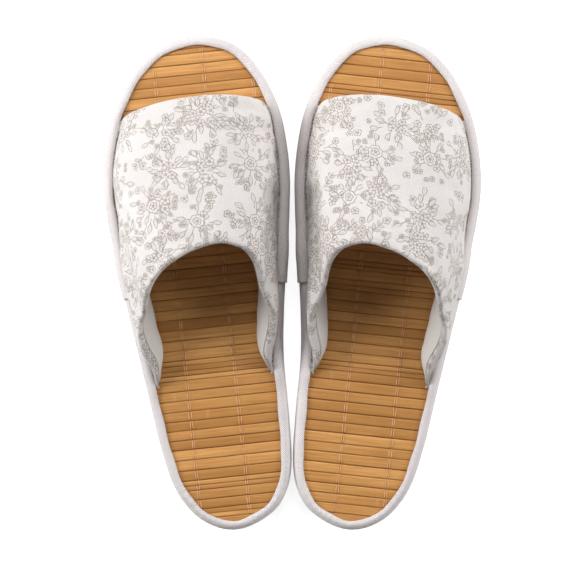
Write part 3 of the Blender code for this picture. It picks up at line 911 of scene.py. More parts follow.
@dataclass(frozen=True)
class Foam(Finish):
    """Foam, felt, board or moulded sole sheet: a fine pebbled or fibrous surface."""

    dark: Colour = (0.3, 0.27, 0.24)
    pore: float = 0.6 * MM
    depth: float = 0.12 * MM

    def dress(self, tree: bpy.types.NodeTree, shader: bpy.types.Node) -> None:
        """Pores by a cell pattern, fine speckle, and slow mottling."""
        place = self.place(tree)
        cells = add_node(tree, "ShaderNodeTexVoronoi", Vector=place, Scale=1.0 / self.pore)
        pores = Num(tree, cells.outputs["Distance"])
        speckle = noise(tree, place, 2400.0, 3.0)
        mottle = Num(tree, Groups.placed(tree, "handling", Place=place, Patch_Size=0.02).outputs[0])
        share = pores.fade(0.45, 0.05) * 0.35 + speckle.fade(0.4, 0.7) * 0.25 + mottle * 0.15
        feed(tree, shader.inputs["Base Color"], mixed(tree, share, self.colour, self.dark))
        feed(tree, shader.inputs["Roughness"], speckle * 0.1 + (self.roughness - 0.05))
        shader.inputs["Specular IOR Level"].default_value = 0.3
        self.bump(tree, shader, pores + speckle * 0.4, self.depth)


PRINTED_TWILL = Cloth(
    "printed twill", "print_fabric", (0.87, 0.835, 0.82), shade=(0.56, 0.51, 0.495), ink=(0.29, 0.24, 0.19),
)
TAPE_TWILL = Cloth("tape twill", "edge_tape", (0.92, 0.87, 0.87), shade=(0.50, 0.455, 0.45))
LINING_CLOTH = Cloth(
    "brushed lining", "lining_fabric", (0.80, 0.765, 0.735), shade=(0.66, 0.62, 0.59), rib=0.7 * MM,
)
WADDING = Foam("wadding", "padding_foam", (0.90, 0.89, 0.86), 0.95, dark=(0.7, 0.69, 0.66), pore=0.9 * MM)
BAMBOO = Bamboo("honey bamboo", "bamboo", (0.52, 0.248, 0.070), 0.50)
# painted shade: a near-black brown sheet under the slats, seen only through the gaps between them
GAP_SHADE_SHEET = Foam("painted gap shade", "bamboo", (0.20, 0.085, 0.025), 0.95, dark=(0.11, 0.045, 0.015))
TIE_THREAD = Yarn("mat tying thread", "tie_thread", (0.86, 0.51, 0.24), 0.8)
SEWING_THREAD = Yarn("sewing thread", "tack_thread", (0.80, 0.76, 0.74), 0.8, dip_shade_colour=(0.55, 0.50, 0.48))
SOLE_SHEET = Foam("sole sheet", "outsole_foam", (0.52, 0.47, 0.42), 0.75, pore=1.1 * MM, depth=0.2 * MM)
CORE = Foam("foam core", "core_foam", (0.84, 0.83, 0.80), dark=(0.62, 0.61, 0.58))
FELT = Foam("felt filler", "filler_felt", (0.58, 0.56, 0.52), 0.95, pore=0.4 * MM)
BOARD = Foam("insole board", "fibre_board", (0.46, 0.33, 0.21), 0.9, dark=(0.28, 0.19, 0.11), pore=0.5 * MM)
CUSHION = Foam("cushion foam", "cushion_foam", (0.88, 0.85, 0.76), 0.9, dark=(0.66, 0.63, 0.54))


def coat(obj: bpy.types.Object, finish: Finish) -> None:
    """Gives an object a finish's material and no other."""
    obj.data.materials.clear()
    obj.data.materials.append(finish.make())


def finish_piece(obj: bpy.types.Object, foot: Foot, finish: Finish, replaces: Sequence[str] = ()) -> None:
    """Gives a finished piece its material, and lets it ride on its slipper.

    Args:
        obj: the piece.
        foot: the slipper it belongs to.
        finish: its finish.
        replaces: the frame's nodes that it stands for, without the foot's name.
    """
    coat(obj, finish)
    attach(obj, foot.body)
    if replaces:
        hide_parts(*(f"{foot.value}_{node}" for node in replaces))
    log.info("%s: %d faces", obj.name, len(obj.data.polygons))


# ---------------------------------------------------------------- repeated pieces by Geometry Nodes
class Repeater:
    """Builds a Geometry Nodes tree step by step."""

    def __init__(self, name: str, sizes: dict[str, float]) -> None:
        """Starts a tree with named inputs for its sizes."""
        inputs = {"Geometry": (GEOMETRY, None)}
        inputs.update({size: (FLOAT, value) for size, value in sizes.items()})
        self.tree, self.start, self.end = new_group(name, "GeometryNodeTree", inputs, {"Geometry": GEOMETRY})
        self.sizes = sizes

    def size(self, name: str) -> Num:
        """One of the named sizes."""
        return Num(self.tree, self.start.outputs[name])

    def read(self, name: str, kind: str = "FLOAT") -> bpy.types.NodeSocket:
        """A named attribute's value."""
        node = add_node(self.tree, "GeometryNodeInputNamedAttribute", {"data_type": kind}, Name=name)
        return node.outputs["Attribute"]

    def number(self, name: str) -> Num:
        """A named attribute that is a number."""
        return Num(self.tree, self.read(name))

    def store(
        self, geometry: bpy.types.NodeSocket, name: str, value: object, kind: str = "FLOAT"
    ) -> bpy.types.NodeSocket:
        """The geometry with a value stored on its points."""
        node = add_node(
            self.tree, "GeometryNodeStoreNamedAttribute", {"data_type": kind},
            Geometry=geometry, Name=name, Value=value,
        )
        return node.outputs[0]

    def instanced(self, shape: bpy.types.NodeSocket) -> tuple[bpy.types.NodeSocket, tuple[Num, Num, Num]]:
        """The shape on each of the given points, made real, and where each of its points was on the shape."""
        place = add_node(self.tree, "GeometryNodeInputPosition").outputs[0]
        marked = self.store(shape, "unit", place, "FLOAT_VECTOR")
        node = add_node(
            self.tree, "GeometryNodeInstanceOnPoints", Points=self.start.outputs[0], Instance=marked
        )
        real = add_node(self.tree, "GeometryNodeRealizeInstances", Geometry=node.outputs[0]).outputs[0]
        return real, parts_of(self.tree, self.read("unit", "FLOAT_VECTOR"))

    def moved(self, geometry: bpy.types.NodeSocket, x: object, y: object, z: object) -> bpy.types.NodeSocket:
        """The geometry with its points put at x, y, z."""
        node = add_node(self.tree, "GeometryNodeSetPosition", Geometry=geometry,
                        Position=vector(self.tree, x, y, z))
        return node.outputs[0]

    def finish(self, geometry: bpy.types.NodeSocket, finish: Finish) -> None:
        """Ends the tree with Realize Instances and Set Material."""
        real = add_node(self.tree, "GeometryNodeRealizeInstances", Geometry=geometry)
        dressed = add_node(self.tree, "GeometryNodeSetMaterial", Geometry=real.outputs[0],
                           Material=finish.make())
        feed(self.tree, self.end.inputs[0], dressed.outputs[0])

    def run(self, name: str, points: Array, numbers: dict[str, Array]) -> bpy.types.Object:
        """Makes the repeated piece.

        Args:
            name: the piece's name.
            points: where each copy goes.
            numbers: each copy's own numbers, by attribute name.
        Returns:
            A plain mesh object.
        """
        mesh = bpy.data.meshes.new(name)
        mesh.from_pydata(np.asarray(points, float).tolist(), [], [])
        for key, values in numbers.items():
            layer = mesh.attributes.new(key, "FLOAT", "POINT")
            layer.data.foreach_set("value", np.asarray(values, float))
        obj = new_object(name, mesh)
        modifier = obj.modifiers.new(self.tree.name, "NODES")
        modifier.node_group = self.tree
        for item in self.tree.interface.items_tree:
            if item.in_out == "INPUT" and item.name in self.sizes:
                modifier[item.identifier] = float(self.sizes[item.name])
        bake(obj)
        obj.data.shade_smooth()
        return obj


ROW_NAMES = ("lateral", "centre", "medial")


@dataclass
class BambooMat:
    """The slats, their tying threads and a dark sheet under them that paints shade into the gaps."""

    foot: Foot
    pitch: float = 5.55 * MM
    gap: float = 0.14 * MM
    edge_inset: float = 3.0 * MM
    split_share: float = 0.16
    knot_share: float = 0.2
    knot_reach: tuple[float, float] = (-45 * MM, 40 * MM)
    crown: float = 0.22 * MM
    waviness: float = 0.26 * MM
    uneven_height: float = 0.05 * MM
    uneven_tilt: float = 0.02
    thread_radius: float = 0.24 * MM
    thread_dip: float = 0.95 * MM
    strand_places: tuple[float, ...] = (-0.58, 0.58)  # in millimetres from the row's middle
    rows: tuple[float, ...] = (-0.0218, 0.0050, 0.0314)
    slats: list[tuple[float, float]] = field(default_factory=list)

    def cut_slats(self) -> None:
        """Works out each slat's middle and half width, heel to toe."""
        draws = np.random.default_rng(self.foot.seed)
        edge = EDGE.at(np.linspace(0, 1, 400), self.edge_inset)
        y, last = edge[:, 1].min() + 0.2 * MM, edge[:, 1].max() - 0.2 * MM
        while y < last - 1.5 * MM:
            step = min(self.pitch * draws.uniform(0.92, 1.08), last - y)
            shares = [0.5, 0.5] if draws.uniform() < self.split_share else [1.0]
            for share in shares:
                width = step * share
                self.slats.append((y + width / 2, (width - self.gap * draws.uniform(0.4, 1.7)) / 2))
                y += width

    def slat_tree(self) -> Repeater:
        """The tree that puts a rounded slat on each point and trims it to the sole's edge."""
        sizes = {"Base": LEVELS.mat_bottom + 0.5 * MM, "Top": LEVELS.mat_top}
        sizes.update({"Crown": self.crown, "Waviness": self.waviness})
        made = Repeater("bamboo slats", sizes)
        tree = made.tree
        cube = add_node(
            tree, "GeometryNodeMeshCube", Size=(1.0, 1.0, 1.0), Vertices_X=34, Vertices_Y=9, Vertices_Z=3
        )
        real, (ux, uy, uz) = made.instanced(cube.outputs[0])
        front = uy + 0.5
        left = made.number("left_back") * front.flip() + made.number("left_front") * front
        right = made.number("right_back") * front.flip() + made.number("right_front") * front
        x = left + (right - left) * (ux + 0.5)
        own = made.number("tone") * 53.0
        bow = noise(tree, vector(tree, x * 26.0, own), 1.0) - 0.5
        rough = noise(tree, vector(tree, x * 90.0, own, uy * 2.0), 1.0) - 0.5
        rounded = (uy * 2.0).abs().op("POWER", 3.2)
        across = uy * made.number("half") * 2.0
        y = made.number("middle") + across + bow * made.size("Waviness")
        top = made.size("Top") - rounded * made.size("Crown") + rough * made.size("Waviness")
        top = top + made.number("lift") + across * made.number("tilt")
        z = made.size("Base") + (top - made.size("Base")) * (uz + 0.5)
        real = made.store(real, "side", uy * 2.0)
        real = made.store(real, "slat_x", x)
        real = made.store(real, "slat_y", across)
        real = made.moved(real, x, y, z)
        made.finish(real, BAMBOO)
        return made

    def build_slats(self, placement: Placement) -> bpy.types.Object:
        """All the slats of one mat."""
        draws = np.random.default_rng(self.foot.seed + 1)
        middle = np.array([m for m, _ in self.slats])
        half = np.array([h for _, h in self.slats])
        count = len(self.slats)
        numbers = {"middle": middle, "half": half}
        for end, y in (("back", middle - half), ("front", middle + half)):
            numbers[f"left_{end}"] = EDGE.x_at(y, self.edge_inset, False)
            numbers[f"right_{end}"] = EDGE.x_at(y, self.edge_inset, True)
        numbers["tone"] = draws.uniform(0.0, 1.0, count)
        numbers["lift"] = draws.normal(0.0, self.uneven_height, count)
        numbers["tilt"] = draws.normal(0.0, self.uneven_tilt, count)
        spots = draws.uniform(*self.knot_reach, count)
        numbers["knot"] = np.where(draws.uniform(size=count) < self.knot_share, spots, 1.0)
        points = np.stack([np.zeros(count), middle, np.zeros(count)], axis=1)
        obj = self.slat_tree().run(f"{self.foot.value}_bamboo_slats", points, numbers)
        mesh = obj.data
        x, y = (np.empty(len(mesh.vertices)) for _ in range(2))
        mesh.attributes["slat_x"].data.foreach_get("value", x)
        mesh.attributes["slat_y"].data.foreach_get("value", y)
        lay_out(mesh, np.stack([x, y], axis=1))
        return into_place(obj, placement)

    def thread_tree(self) -> Repeater:
        """The tree that lays one strand over each slat, down into the gap on either side."""
        sizes = {"Radius": self.thread_radius, "Dip": self.thread_dip, "Top": LEVELS.mat_top + 0.10 * MM}
        made = Repeater("mat threads", sizes)
        tree = made.tree
        line = add_node(tree, "GeometryNodeCurvePrimitiveLine", Start=(0.0, -1.0, 0.0), End=(0.0, 1.0, 0.0))
        line = add_node(tree, "GeometryNodeResampleCurve", Curve=line.outputs[0], Count=13)
        real, (_, s, _) = made.instanced(line.outputs[0])
        fall = s.abs().op("POWER", 5.0)
        x = made.number("row") + s * made.number("lean")
        y = made.number("middle") + s * made.number("half")
        z = made.size("Top") - fall * made.size("Dip")
        # dip: how far towards a strand's ends a point is; the thread's material paints shade there
        real = made.moved(made.store(real, "dip", s.abs()), x, y, z)
        ring = add_node(tree, "GeometryNodeCurvePrimitiveCircle", Resolution=7, Radius=made.size("Radius"))
        tube = add_node(
            tree, "GeometryNodeCurveToMesh", Curve=real, Profile_Curve=ring.outputs[0], Fill_Caps=True
        )
        made.finish(tube.outputs[0], TIE_THREAD)
        return made

    def build_threads(self, placement: Placement) -> list[bpy.types.Object]:
        """One piece for each row of tying thread."""
        tree = self.thread_tree()
        made = []
        for number, (row, name) in enumerate(zip(self.rows, ROW_NAMES)):
            draws = np.random.default_rng(self.foot.seed + 20 + number)
            copies = []
            for middle, half in self.slats:
                inner = EDGE.x_at(middle, self.edge_inset + 3.0 * MM, True)
                outer = EDGE.x_at(middle, self.edge_inset + 3.0 * MM, False)
                if not outer < row < inner:
                    continue
                for strand in self.strand_places:
                    spot = row + (strand + draws.normal(0.0, 0.10)) * MM
                    copies.append((spot, middle, half + self.gap / 2, draws.normal(0.0, 0.16) * MM))
            row_at, middles, halves, leans = (np.array(c) for c in zip(*copies))
            points = np.stack([row_at, middles, np.zeros(len(copies))], axis=1)
            numbers = {"row": row_at, "middle": middles, "half": halves, "lean": leans}
            obj = tree.run(f"{self.foot.value}_mat_thread_{name}_strands", points, numbers)
            made.append(into_place(obj, placement))
        return made

    def build_gap_shade_sheet(self, placement: Placement) -> bpy.types.Object:
        """A dark sheet under the slats, a thin closed plate, which paints shade into the gaps between them.
        """
        shares = np.linspace(0.0, 1.0, 160, endpoint=False)
        edge = EDGE.at(shares, self.edge_inset + 0.3 * MM)
        low, high = LEVELS.mat_bottom + 0.02 * MM, LEVELS.mat_bottom + 0.45 * MM
        rings = [np.column_stack([edge, np.full(len(edge), z)]) for z in (low, high)]
        points = np.vstack(rings)
        count = len(edge)
        faces = [(i, (i + 1) % count, count + (i + 1) % count, count + i) for i in range(count)]
        faces += [tuple(range(count)), tuple(range(count, 2 * count))]
        return make_piece(f"{self.foot.value}_mat_backing", placement.place(points), faces)

    def build(self, placement: Placement) -> None:
        """Makes and dresses the mat's pieces."""
        self.cut_slats()
        finish_piece(self.build_slats(placement), self.foot, BAMBOO, ["bamboo_mat"])
        # painted shade: the dark sheet under the slats
        finish_piece(self.build_gap_shade_sheet(placement), self.foot, GAP_SHADE_SHEET)
        for obj, row in zip(self.build_threads(placement), ROW_NAMES):
            finish_piece(obj, self.foot, TIE_THREAD, [f"mat_thread_{row}"])


# ---------------------------------------------------------------- the sole's layers
@dataclass(frozen=True)
class SolePlate:
    """A flat layer with the sole's outline and rounded rims, as a closed mesh of rows across the foot."""

    inset: float
    low: float
    high: float
    rim: float = 0.6 * MM
    rows: int = 190
    columns: int = 44
    sag: float = 0.0  # how much lower the top lies towards its rim, as on a cushion
    sag_reach: float = 14 * MM
    tread: float = 0.0  # how deep the ripples under it are
    ripple_pitch: float = 5.0 * MM
    ripple_sway: tuple[float, float] = (1.6 * MM, 13 * MM)  # how far the ripples wave, and how often

    def build(self, name: str, placement: Placement) -> bpy.types.Object:
        """Makes the plate.

        Args:
            name: the piece's name.
            placement: where the slipper is.
        Returns:
            The new object.
        """
        edge = EDGE.at(np.linspace(0, 1, 600), self.inset)
        low_y, high_y = edge[:, 1].min(), edge[:, 1].max()
        share = 0.5 - 0.5 * np.cos(np.linspace(0.04, math.pi - 0.04, self.rows))
        y = (low_y + (high_y - low_y) * share)[:, None]
        left, right = (EDGE.x_at(y, self.inset, inner) for inner in (False, True))
        across = np.linspace(0.0, 1.0, self.columns)[None, :]
        from_side = np.minimum(across, 1 - across) * (right - left)
        inside = np.minimum(from_side, np.minimum(y - low_y, high_y - y))
        off_rim = 1 - np.clip(inside / self.rim, 0, 1)
        rounded = self.rim * (1.0 - np.sqrt(np.clip(1 - off_rim**2, 0, 1)))
        x = left + (right - left) * across
        y = np.broadcast_to(y, x.shape)
        top = self.high - rounded - self.sag * smooth(self.sag_reach, 0.0, inside)
        sway, every = self.ripple_sway
        wave = np.sin((y + sway * np.sin(x * math.tau / every)) * math.tau / self.ripple_pitch)
        groove = smooth(0.35, 0.85, wave) * smooth(5 * MM, 7 * MM, inside)
        bottom = self.low + rounded + self.tread * groove
        upper = np.stack([x, y, top], axis=-1)
        under = np.stack([x, y, bottom], axis=-1)[:, ::-1]
        points = np.concatenate([upper, under], axis=1)
        return make_piece(name, placement.place(points), closed_faces(self.rows, self.columns))


@dataclass
class SoleStack:
    """The moulded outsole, the cushion under the mat, and the hidden layers between."""

    foot: Foot

    def build(self, placement: Placement) -> None:
        """Makes the outsole and cushion, and dresses the layers that stay as the frame has them."""
        side = self.foot.value
        outsole = SolePlate(
            OUTSOLE_INSET, 0.0, LEVELS.outsole_top, rim=0.9 * MM, rows=300, columns=72, tread=0.7 * MM
        )
        finish_piece(outsole.build(f"{side}_outsole_sheet", placement), self.foot, SOLE_SHEET, ["outsole"])
        low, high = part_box(f"{side}_insole_cushion")
        cushion = SolePlate(2.9 * MM, low.z, high.z, rim=0.9 * MM, sag=0.35 * MM)
        pad = cushion.build(f"{side}_insole_pad", placement)
        finish_piece(pad, self.foot, CUSHION, ["insole_cushion"])
        for node, finish in (("bottom_filler", FELT), ("foam_core", CORE), ("insole_board", BOARD)):
            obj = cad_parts[f"{side}_{node}"]
            coat(obj, finish)


# ---------------------------------------------------------------- the upper's shape
@dataclass(frozen=True)
class VaultShape:
    """The padded upper's outer face: t runs over the foot from the outer side, y from toe to heel."""

    root_inset: float = 6.6 * MM
    flange_inset: float = 3.2 * MM
    cover: float = 0.8 * MM
    wall_top: float = 3.4 * MM
    wall_foot: float = 4.6 * MM
    foot_height: float = 24 * MM
    front_corner: float = 93.7 * MM
    front_crown: float = 99.4 * MM
    front_lean: float = 1.15
    front_rise: float = 28 * MM
    instep: float = 20 * MM
    instep_rise: float = 59 * MM
    slope: float = 0.92
    power: float = 0.87
    flare: float = 3.8 * MM
    flare_width: float = 0.16
    wing_rear: tuple[float, float] = (-53.5 * MM, -32 * MM)
    wing_front: tuple[float, float] = (5 * MM, 45 * MM)
    tip_share: float = 0.35  # of the wall's thickness, left at the wing tips
    tip_length: float = 16 * MM
    step: float = 0.004  # for reading slopes, and the least share over the foot where a normal is read
    collar_knots: tuple[tuple[float, float], ...] = (
        (0.00, -0.0535), (0.06, -0.0345), (0.12, -0.0175), (0.24, -0.0020), (0.37, 0.0102), (0.55, 0.0200),
        (0.69, 0.0162), (0.785, 0.0070), (0.86, -0.0095), (0.925, -0.0270), (1.00, -0.0520),
    )

    def front(self, t: Array) -> Array:
        """The y of the toe opening's edge."""
        arch = np.sin(math.pi * t**self.front_lean)
        return self.front_corner + (self.front_crown - self.front_corner) * arch

    def collar(self, t: Array) -> Array:
        """The y of the collar's edge, on a smooth curve through its knots."""
        shares, ys = np.array(self.collar_knots).T
        last = len(shares) - 1
        k = np.clip(np.searchsorted(shares, t, "right") - 1, 0, last - 1)
        u = (t - shares[k]) / (shares[k + 1] - shares[k])
        return joined(*(ys[np.clip(k + i, 0, last)] for i in (-1, 0, 1, 2)), u)

    def rise(self, y: Array) -> Array:
        """How high the crown is above the insole."""
        share = np.clip((self.front_crown - y) / (self.front_crown - self.instep), 0.0, 1.15)
        return self.front_rise + (self.instep_rise - self.front_rise) * share**self.slope

    def wing(self, y: Array) -> Array:
        """1 along the side wings, 0 ahead of them and at their rear tips."""
        return (1.0 - smooth(*self.wing_front, y)) * smooth(*self.wing_rear, y)

    def point(self, t: Array, y: Array) -> Array:
        """The outer face at t and y."""
        t = np.clip(t, 0.0, 1.0)
        outer, inner = (EDGE.x_at(y, self.root_inset, side) for side in (False, True))
        angle = math.pi * t
        reach = np.sign(np.cos(angle)) * np.abs(np.cos(angle)) ** self.power
        low = np.clip(np.minimum(t, 1.0 - t) / self.flare_width, 0.0, 1.0)
        flare = self.flare * self.wing(y) * np.sin(math.pi * low) ** 2
        x = (outer + inner) / 2 - reach * (inner - outer) / 2 - np.copysign(flare, reach)
        z = LEVELS.upper_root + self.cover + self.rise(y) * np.abs(np.sin(angle)) ** self.power
        return np.stack([x, y, z], axis=-1)

    def normal(self, t: Array, y: Array) -> Array:
        """The direction straight out of the outer face."""
        t = np.clip(t, self.step, 1.0 - self.step)
        over = self.point(t + self.step, y) - self.point(t - self.step, y)
        along = self.point(t, y + self.step) - self.point(t, y - self.step)
        return unit(np.cross(over, along))

    def wall(self, t: Array, y: Array) -> Array:
        """The upper's whole thickness, more at the foot of the wings and less at their rear tips."""
        height = self.point(t, y)[..., 2] - LEVELS.upper_root
        foot = self.wall_foot * self.wing(y) * np.clip(1.0 - height / self.foot_height, 0.0, None)
        tip = self.wing_rear[0]
        thinned = self.tip_share + (1.0 - self.tip_share) * smooth(tip, tip + self.tip_length, y)
        return self.wall_top * thinned + foot

    def inside(self, t: Array, y: Array, depth: Array | float) -> Array:
        """The point depth inside the outer face, and never below the insole."""
        limited = np.clip(t, self.step, 1.0 - self.step)
        point = self.point(limited, y) - self.normal(limited, y) * np.asarray(depth)[..., None]
        point[..., 2] = np.maximum(point[..., 2], LEVELS.upper_root)
        return point


VAULT = VaultShape()


class UpperFlange:
    """Where round the sole's edge the upper's flange lies under the tape."""

    ease = 0.014

    def __init__(self) -> None:
        """Works out the stretch on each side."""
        self.sides = []
        reached = (VAULT.collar_knots[0][1], VAULT.front_corner)
        for inner in (True, False):
            ends = [EDGE.share_at(y, VAULT.root_inset, inner) for y in reached]
            self.sides.append((min(ends), max(ends)))

    def under(self, share: Array) -> Array:
        """1 where the flange is, easing to 0 past its ends."""
        at = np.asarray(share) % 1.0
        low, high = zip(*self.sides)
        first, second = (
            smooth(a - self.ease, a, at) * (1.0 - smooth(b, b + self.ease, at)) for a, b in zip(low, high)
        )
        return np.maximum(first, second)


FLANGE = UpperFlange()


# ---------------------------------------------------------------- the edge tape
@dataclass
class EdgeTape:
    """A length of tape folded round the sole's edge, from one share of the edge to another."""

    foot: Foot
    name: str
    start: float
    end: float
    tucked: bool
    thickness: float = 0.75 * MM
    stations: int = 620
    across: int = 26
    lap: float = 13.5 * MM
    lap_ease: float = 20 * MM
    trimmed: float = 6 * MM  # how much of a tucked end is cut back, and how far that takes to end
    trim_ease: float = 3.5 * MM
    above_outsole: float = 0.3 * MM
    above_flange: float = 0.8 * MM
    flange_rise: float = 1.1 * MM
    lap_rise: float = 1.0 * MM  # how much farther out a lapping end stands
    stitch_height: float = 1.16 * MM
    pucker: float = 0.07 * MM
    pucker_pitch: float = 4.3 * MM
    pucker_drift: float = 31 * MM
    swell_pitch: float = 17 * MM
    edge_sway: float = 0.18 * MM
    edge_sway_pitch: float = 23 * MM
    bends: tuple[float, float] = (85 * MM, 125 * MM)  # the tape puckers more at the toe and heel
    section: tuple[tuple[float, float], ...] = (
        (0.0056, 1.00), (0.0036, 1.035), (0.0014, 0.94), (0.0001, 0.68),
        (0.0001, 0.32), (0.0016, 0.05), (0.0040, 0.00), (0.0090, 0.00),
    )
    tucked_section: tuple[tuple[float, float], ...] = (
        (0.0056, 1.00), (0.0036, 1.035), (0.0014, 0.94), (0.0001, 0.68),
        (0.0001, 0.47), (0.0002, 0.38), (0.0005, 0.31), (0.0012, 0.26),
    )

    def smooth_section(self, section: tuple[tuple[float, float], ...]) -> Array:
        """The section's points joined by a smooth curve."""
        knots = np.array(section)
        knots = np.vstack([2 * knots[0] - knots[1], knots, 2 * knots[-1] - knots[-2]])
        place = np.linspace(0.0, len(section) - 1 - 1e-9, self.across)
        k = place.astype(int)
        u = (place - k)[:, None]
        return joined(*(knots[k + i] for i in (0, 1, 2, 3)), u)

    def surface(self) -> tuple[Array, Array]:
        """The outer face's points and their places on the cloth."""
        length = self.end - self.start
        along = np.linspace(0.0, 1.0, self.stations)[:, None]
        share = self.start + along * length
        from_end = np.minimum(along, 1.0 - along) * length * EDGE.length
        near_end = 1.0 - smooth(self.lap, self.lap + self.lap_ease, from_end)
        plain, trimmed = self.smooth_section(self.section), self.smooth_section(self.tucked_section)
        inset = np.broadcast_to(plain[:, 0], (self.stations, self.across)).copy()
        height = np.broadcast_to(plain[:, 1], inset.shape).copy()
        q = np.linspace(0.0, 1.0, self.across)[None, :]  # 0 at the tape's upper hem, 1 at its lower one
        if self.tucked:
            cut = 1.0 - smooth(self.trimmed, self.trimmed + self.trim_ease, from_end)
            inset += (trimmed[:, 0] - inset) * smooth(0.0, 0.5, cut)
            height += (trimmed[:, 1] - height) * smooth(0.5, 1.0, cut)
        bottom = LEVELS.outsole_top + self.above_outsole
        top = LEVELS.upper_root + self.above_flange + self.flange_rise * FLANGE.under(share)
        z = bottom + (top - bottom) * height
        if not self.tucked:
            raised = self.lap_rise * near_end
            inset -= raised * smooth(0.06, 0.16, q) * smooth(0.92, 0.80, q)
            z += raised * smooth(0.46, 0.30, q)
        metres = share * EDGE.length
        bend = smooth(*self.bends, np.abs(EDGE.at(share[:, 0], 0.0)[:, 1]))[:, None]
        drift = 1.9 * np.sin(metres * math.tau / self.pucker_drift)
        beat = np.sin(metres * math.tau / self.pucker_pitch + drift)
        soft = np.sin(metres * math.tau / self.swell_pitch + q * 4.0)
        proud = self.pucker * ((0.25 + 1.1 * bend) * beat * (1 - q) + 0.8 * soft) * smooth(0.7, 0.3, q)
        z = z + proud * smooth(0.45, 0.25, q)
        inset = inset - proud * smooth(0.15, 0.4, q)
        sway = np.sin(metres * math.tau / self.edge_sway_pitch + 1.0)
        inset += self.edge_sway * sway * smooth(0.2, 0.0, q)
        edge = EDGE.at(np.broadcast_to(share, inset.shape), inset)
        points = np.concatenate([edge, z[..., None]], axis=-1)
        steps = np.linalg.norm(np.diff(points, axis=1), axis=-1)
        walked = np.concatenate([np.zeros((self.stations, 1)), np.cumsum(steps, axis=1)], axis=1)
        return points, np.stack([np.broadcast_to(metres, inset.shape), walked], axis=-1)

    def build(self, placement: Placement) -> bpy.types.Object:
        """Makes the tape with its thickness."""
        points, cloth = self.surface()
        obj = make_piece(
            f"{self.foot.value}_{self.name}_tape", points, grid_faces(self.stations, self.across), cloth
        )
        point_out(obj, points[self.stations // 2, self.across // 2, :2])
        thicken(obj, self.thickness)
        return into_place(obj, placement)

    def stitch_line(self, inset: float, spacing: float) -> tuple[Array, Array]:
        """Where stitches go along the tape's top, and the way it runs there."""
        count = int((self.end - self.start) * EDGE.length / spacing)
        share = self.start + (self.end - self.start) * (np.arange(count) + 0.5) / count
        from_end = np.minimum(share - self.start, self.end - share) * EDGE.length
        near_end = 1.0 - smooth(self.lap, self.lap + self.lap_ease, from_end)
        point = EDGE.at(share, inset)
        ahead = EDGE.at(share + 0.001, inset)
        z = LEVELS.mat_top + self.stitch_height + self.flange_rise * FLANGE.under(share)
        z = z + (0.0 if self.tucked else self.lap_rise) * near_end
        return np.column_stack([point, z]), unit(np.column_stack([ahead - point, np.zeros(count)]))


def point_out(obj: bpy.types.Object, outer: Array) -> None:
    """Turns an open surface's faces so that the one nearest a point on its outer side looks outwards."""
    mesh = obj.data
    centres = np.array([p.center[:2] for p in mesh.polygons])
    nearest = int(np.argmin(np.linalg.norm(centres - outer[None, :], axis=1)))
    facing = mesh.polygons[nearest].normal
    if facing.x * outer[0] + facing.y * outer[1] < 0:
        mesh.flip_normals()


# ---------------------------------------------------------------- stitches
@dataclass(frozen=True)
class Stitches:
    """Short thread stitches laid along a line."""

    length: float = 2.1 * MM
    radius: float = 0.20 * MM

    def tree(self) -> Repeater:
        """The tree that puts a small rounded stitch on each point, along its own direction."""
        made = Repeater("stitches", {"Half Length": self.length / 2, "Radius": self.radius})
        tree = made.tree
        bead = add_node(tree, "GeometryNodeMeshUVSphere", Segments=7, Rings=5, Radius=1.0)
        real, (a, b, c) = made.instanced(bead.outputs[0])
        swell = a.abs().op("POWER", 2.0).flip().most(0.0).op("SQRT") * 0.3 + 0.8
        side = b * made.size("Radius") * swell
        along = a.op("SIGN") * a.abs().op("POWER", 0.7) * made.size("Half Length")
        x = made.number("at_x") + made.number("way_x") * along - made.number("way_y") * side
        y = made.number("at_y") + made.number("way_y") * along + made.number("way_x") * side
        z = made.number("at_z") + made.number("way_z") * along + c * made.size("Radius") * 0.9
        # dip: how far towards a stitch's ends a point is; the thread's material paints shade there
        real = made.store(real, "dip", a.abs())
        made.finish(made.moved(real, x, y, z), SEWING_THREAD)
        return made

    def build(self, name: str, points: Array, ways: Array, placement: Placement) -> bpy.types.Object:
        """One piece with a stitch at each point, along its way."""
        numbers = {f"at_{axis}": points[:, i] for i, axis in enumerate("xyz")}
        numbers.update({f"way_{axis}": ways[:, i] for i, axis in enumerate("xyz")})
        return into_place(self.tree().run(name, points, numbers), placement)


@dataclass
class Binding:
    """The toe tape, the heel tape whose ends go under it, and their stitching."""

    foot: Foot
    join_y: float = -4.0 * MM
    overlap: float = 10.0 * MM
    stitch_inset: float = 4.9 * MM
    stitch_spacing: float = 2.9 * MM

    def build(self, placement: Placement) -> None:
        """Makes both tapes and their stitches."""
        toe = [EDGE.share_at(self.join_y, 0.0, inner) for inner in (True, False)]
        heel = [EDGE.share_at(self.join_y + self.overlap, 0.0, inner) for inner in (True, False)]
        tapes = (
            EdgeTape(self.foot, "toe_binding", toe[0], toe[1], tucked=False),
            EdgeTape(self.foot, "heel_binding", heel[1], 1.0 + heel[0], tucked=True),
        )
        for tape in tapes:
            finish_piece(tape.build(placement), self.foot, TAPE_TWILL, [tape.name])
            points, ways = tape.stitch_line(self.stitch_inset, self.stitch_spacing)
            name = f"{self.foot.value}_{tape.name}_stitches"
            finish_piece(Stitches().build(name, points, ways, placement), self.foot, SEWING_THREAD)


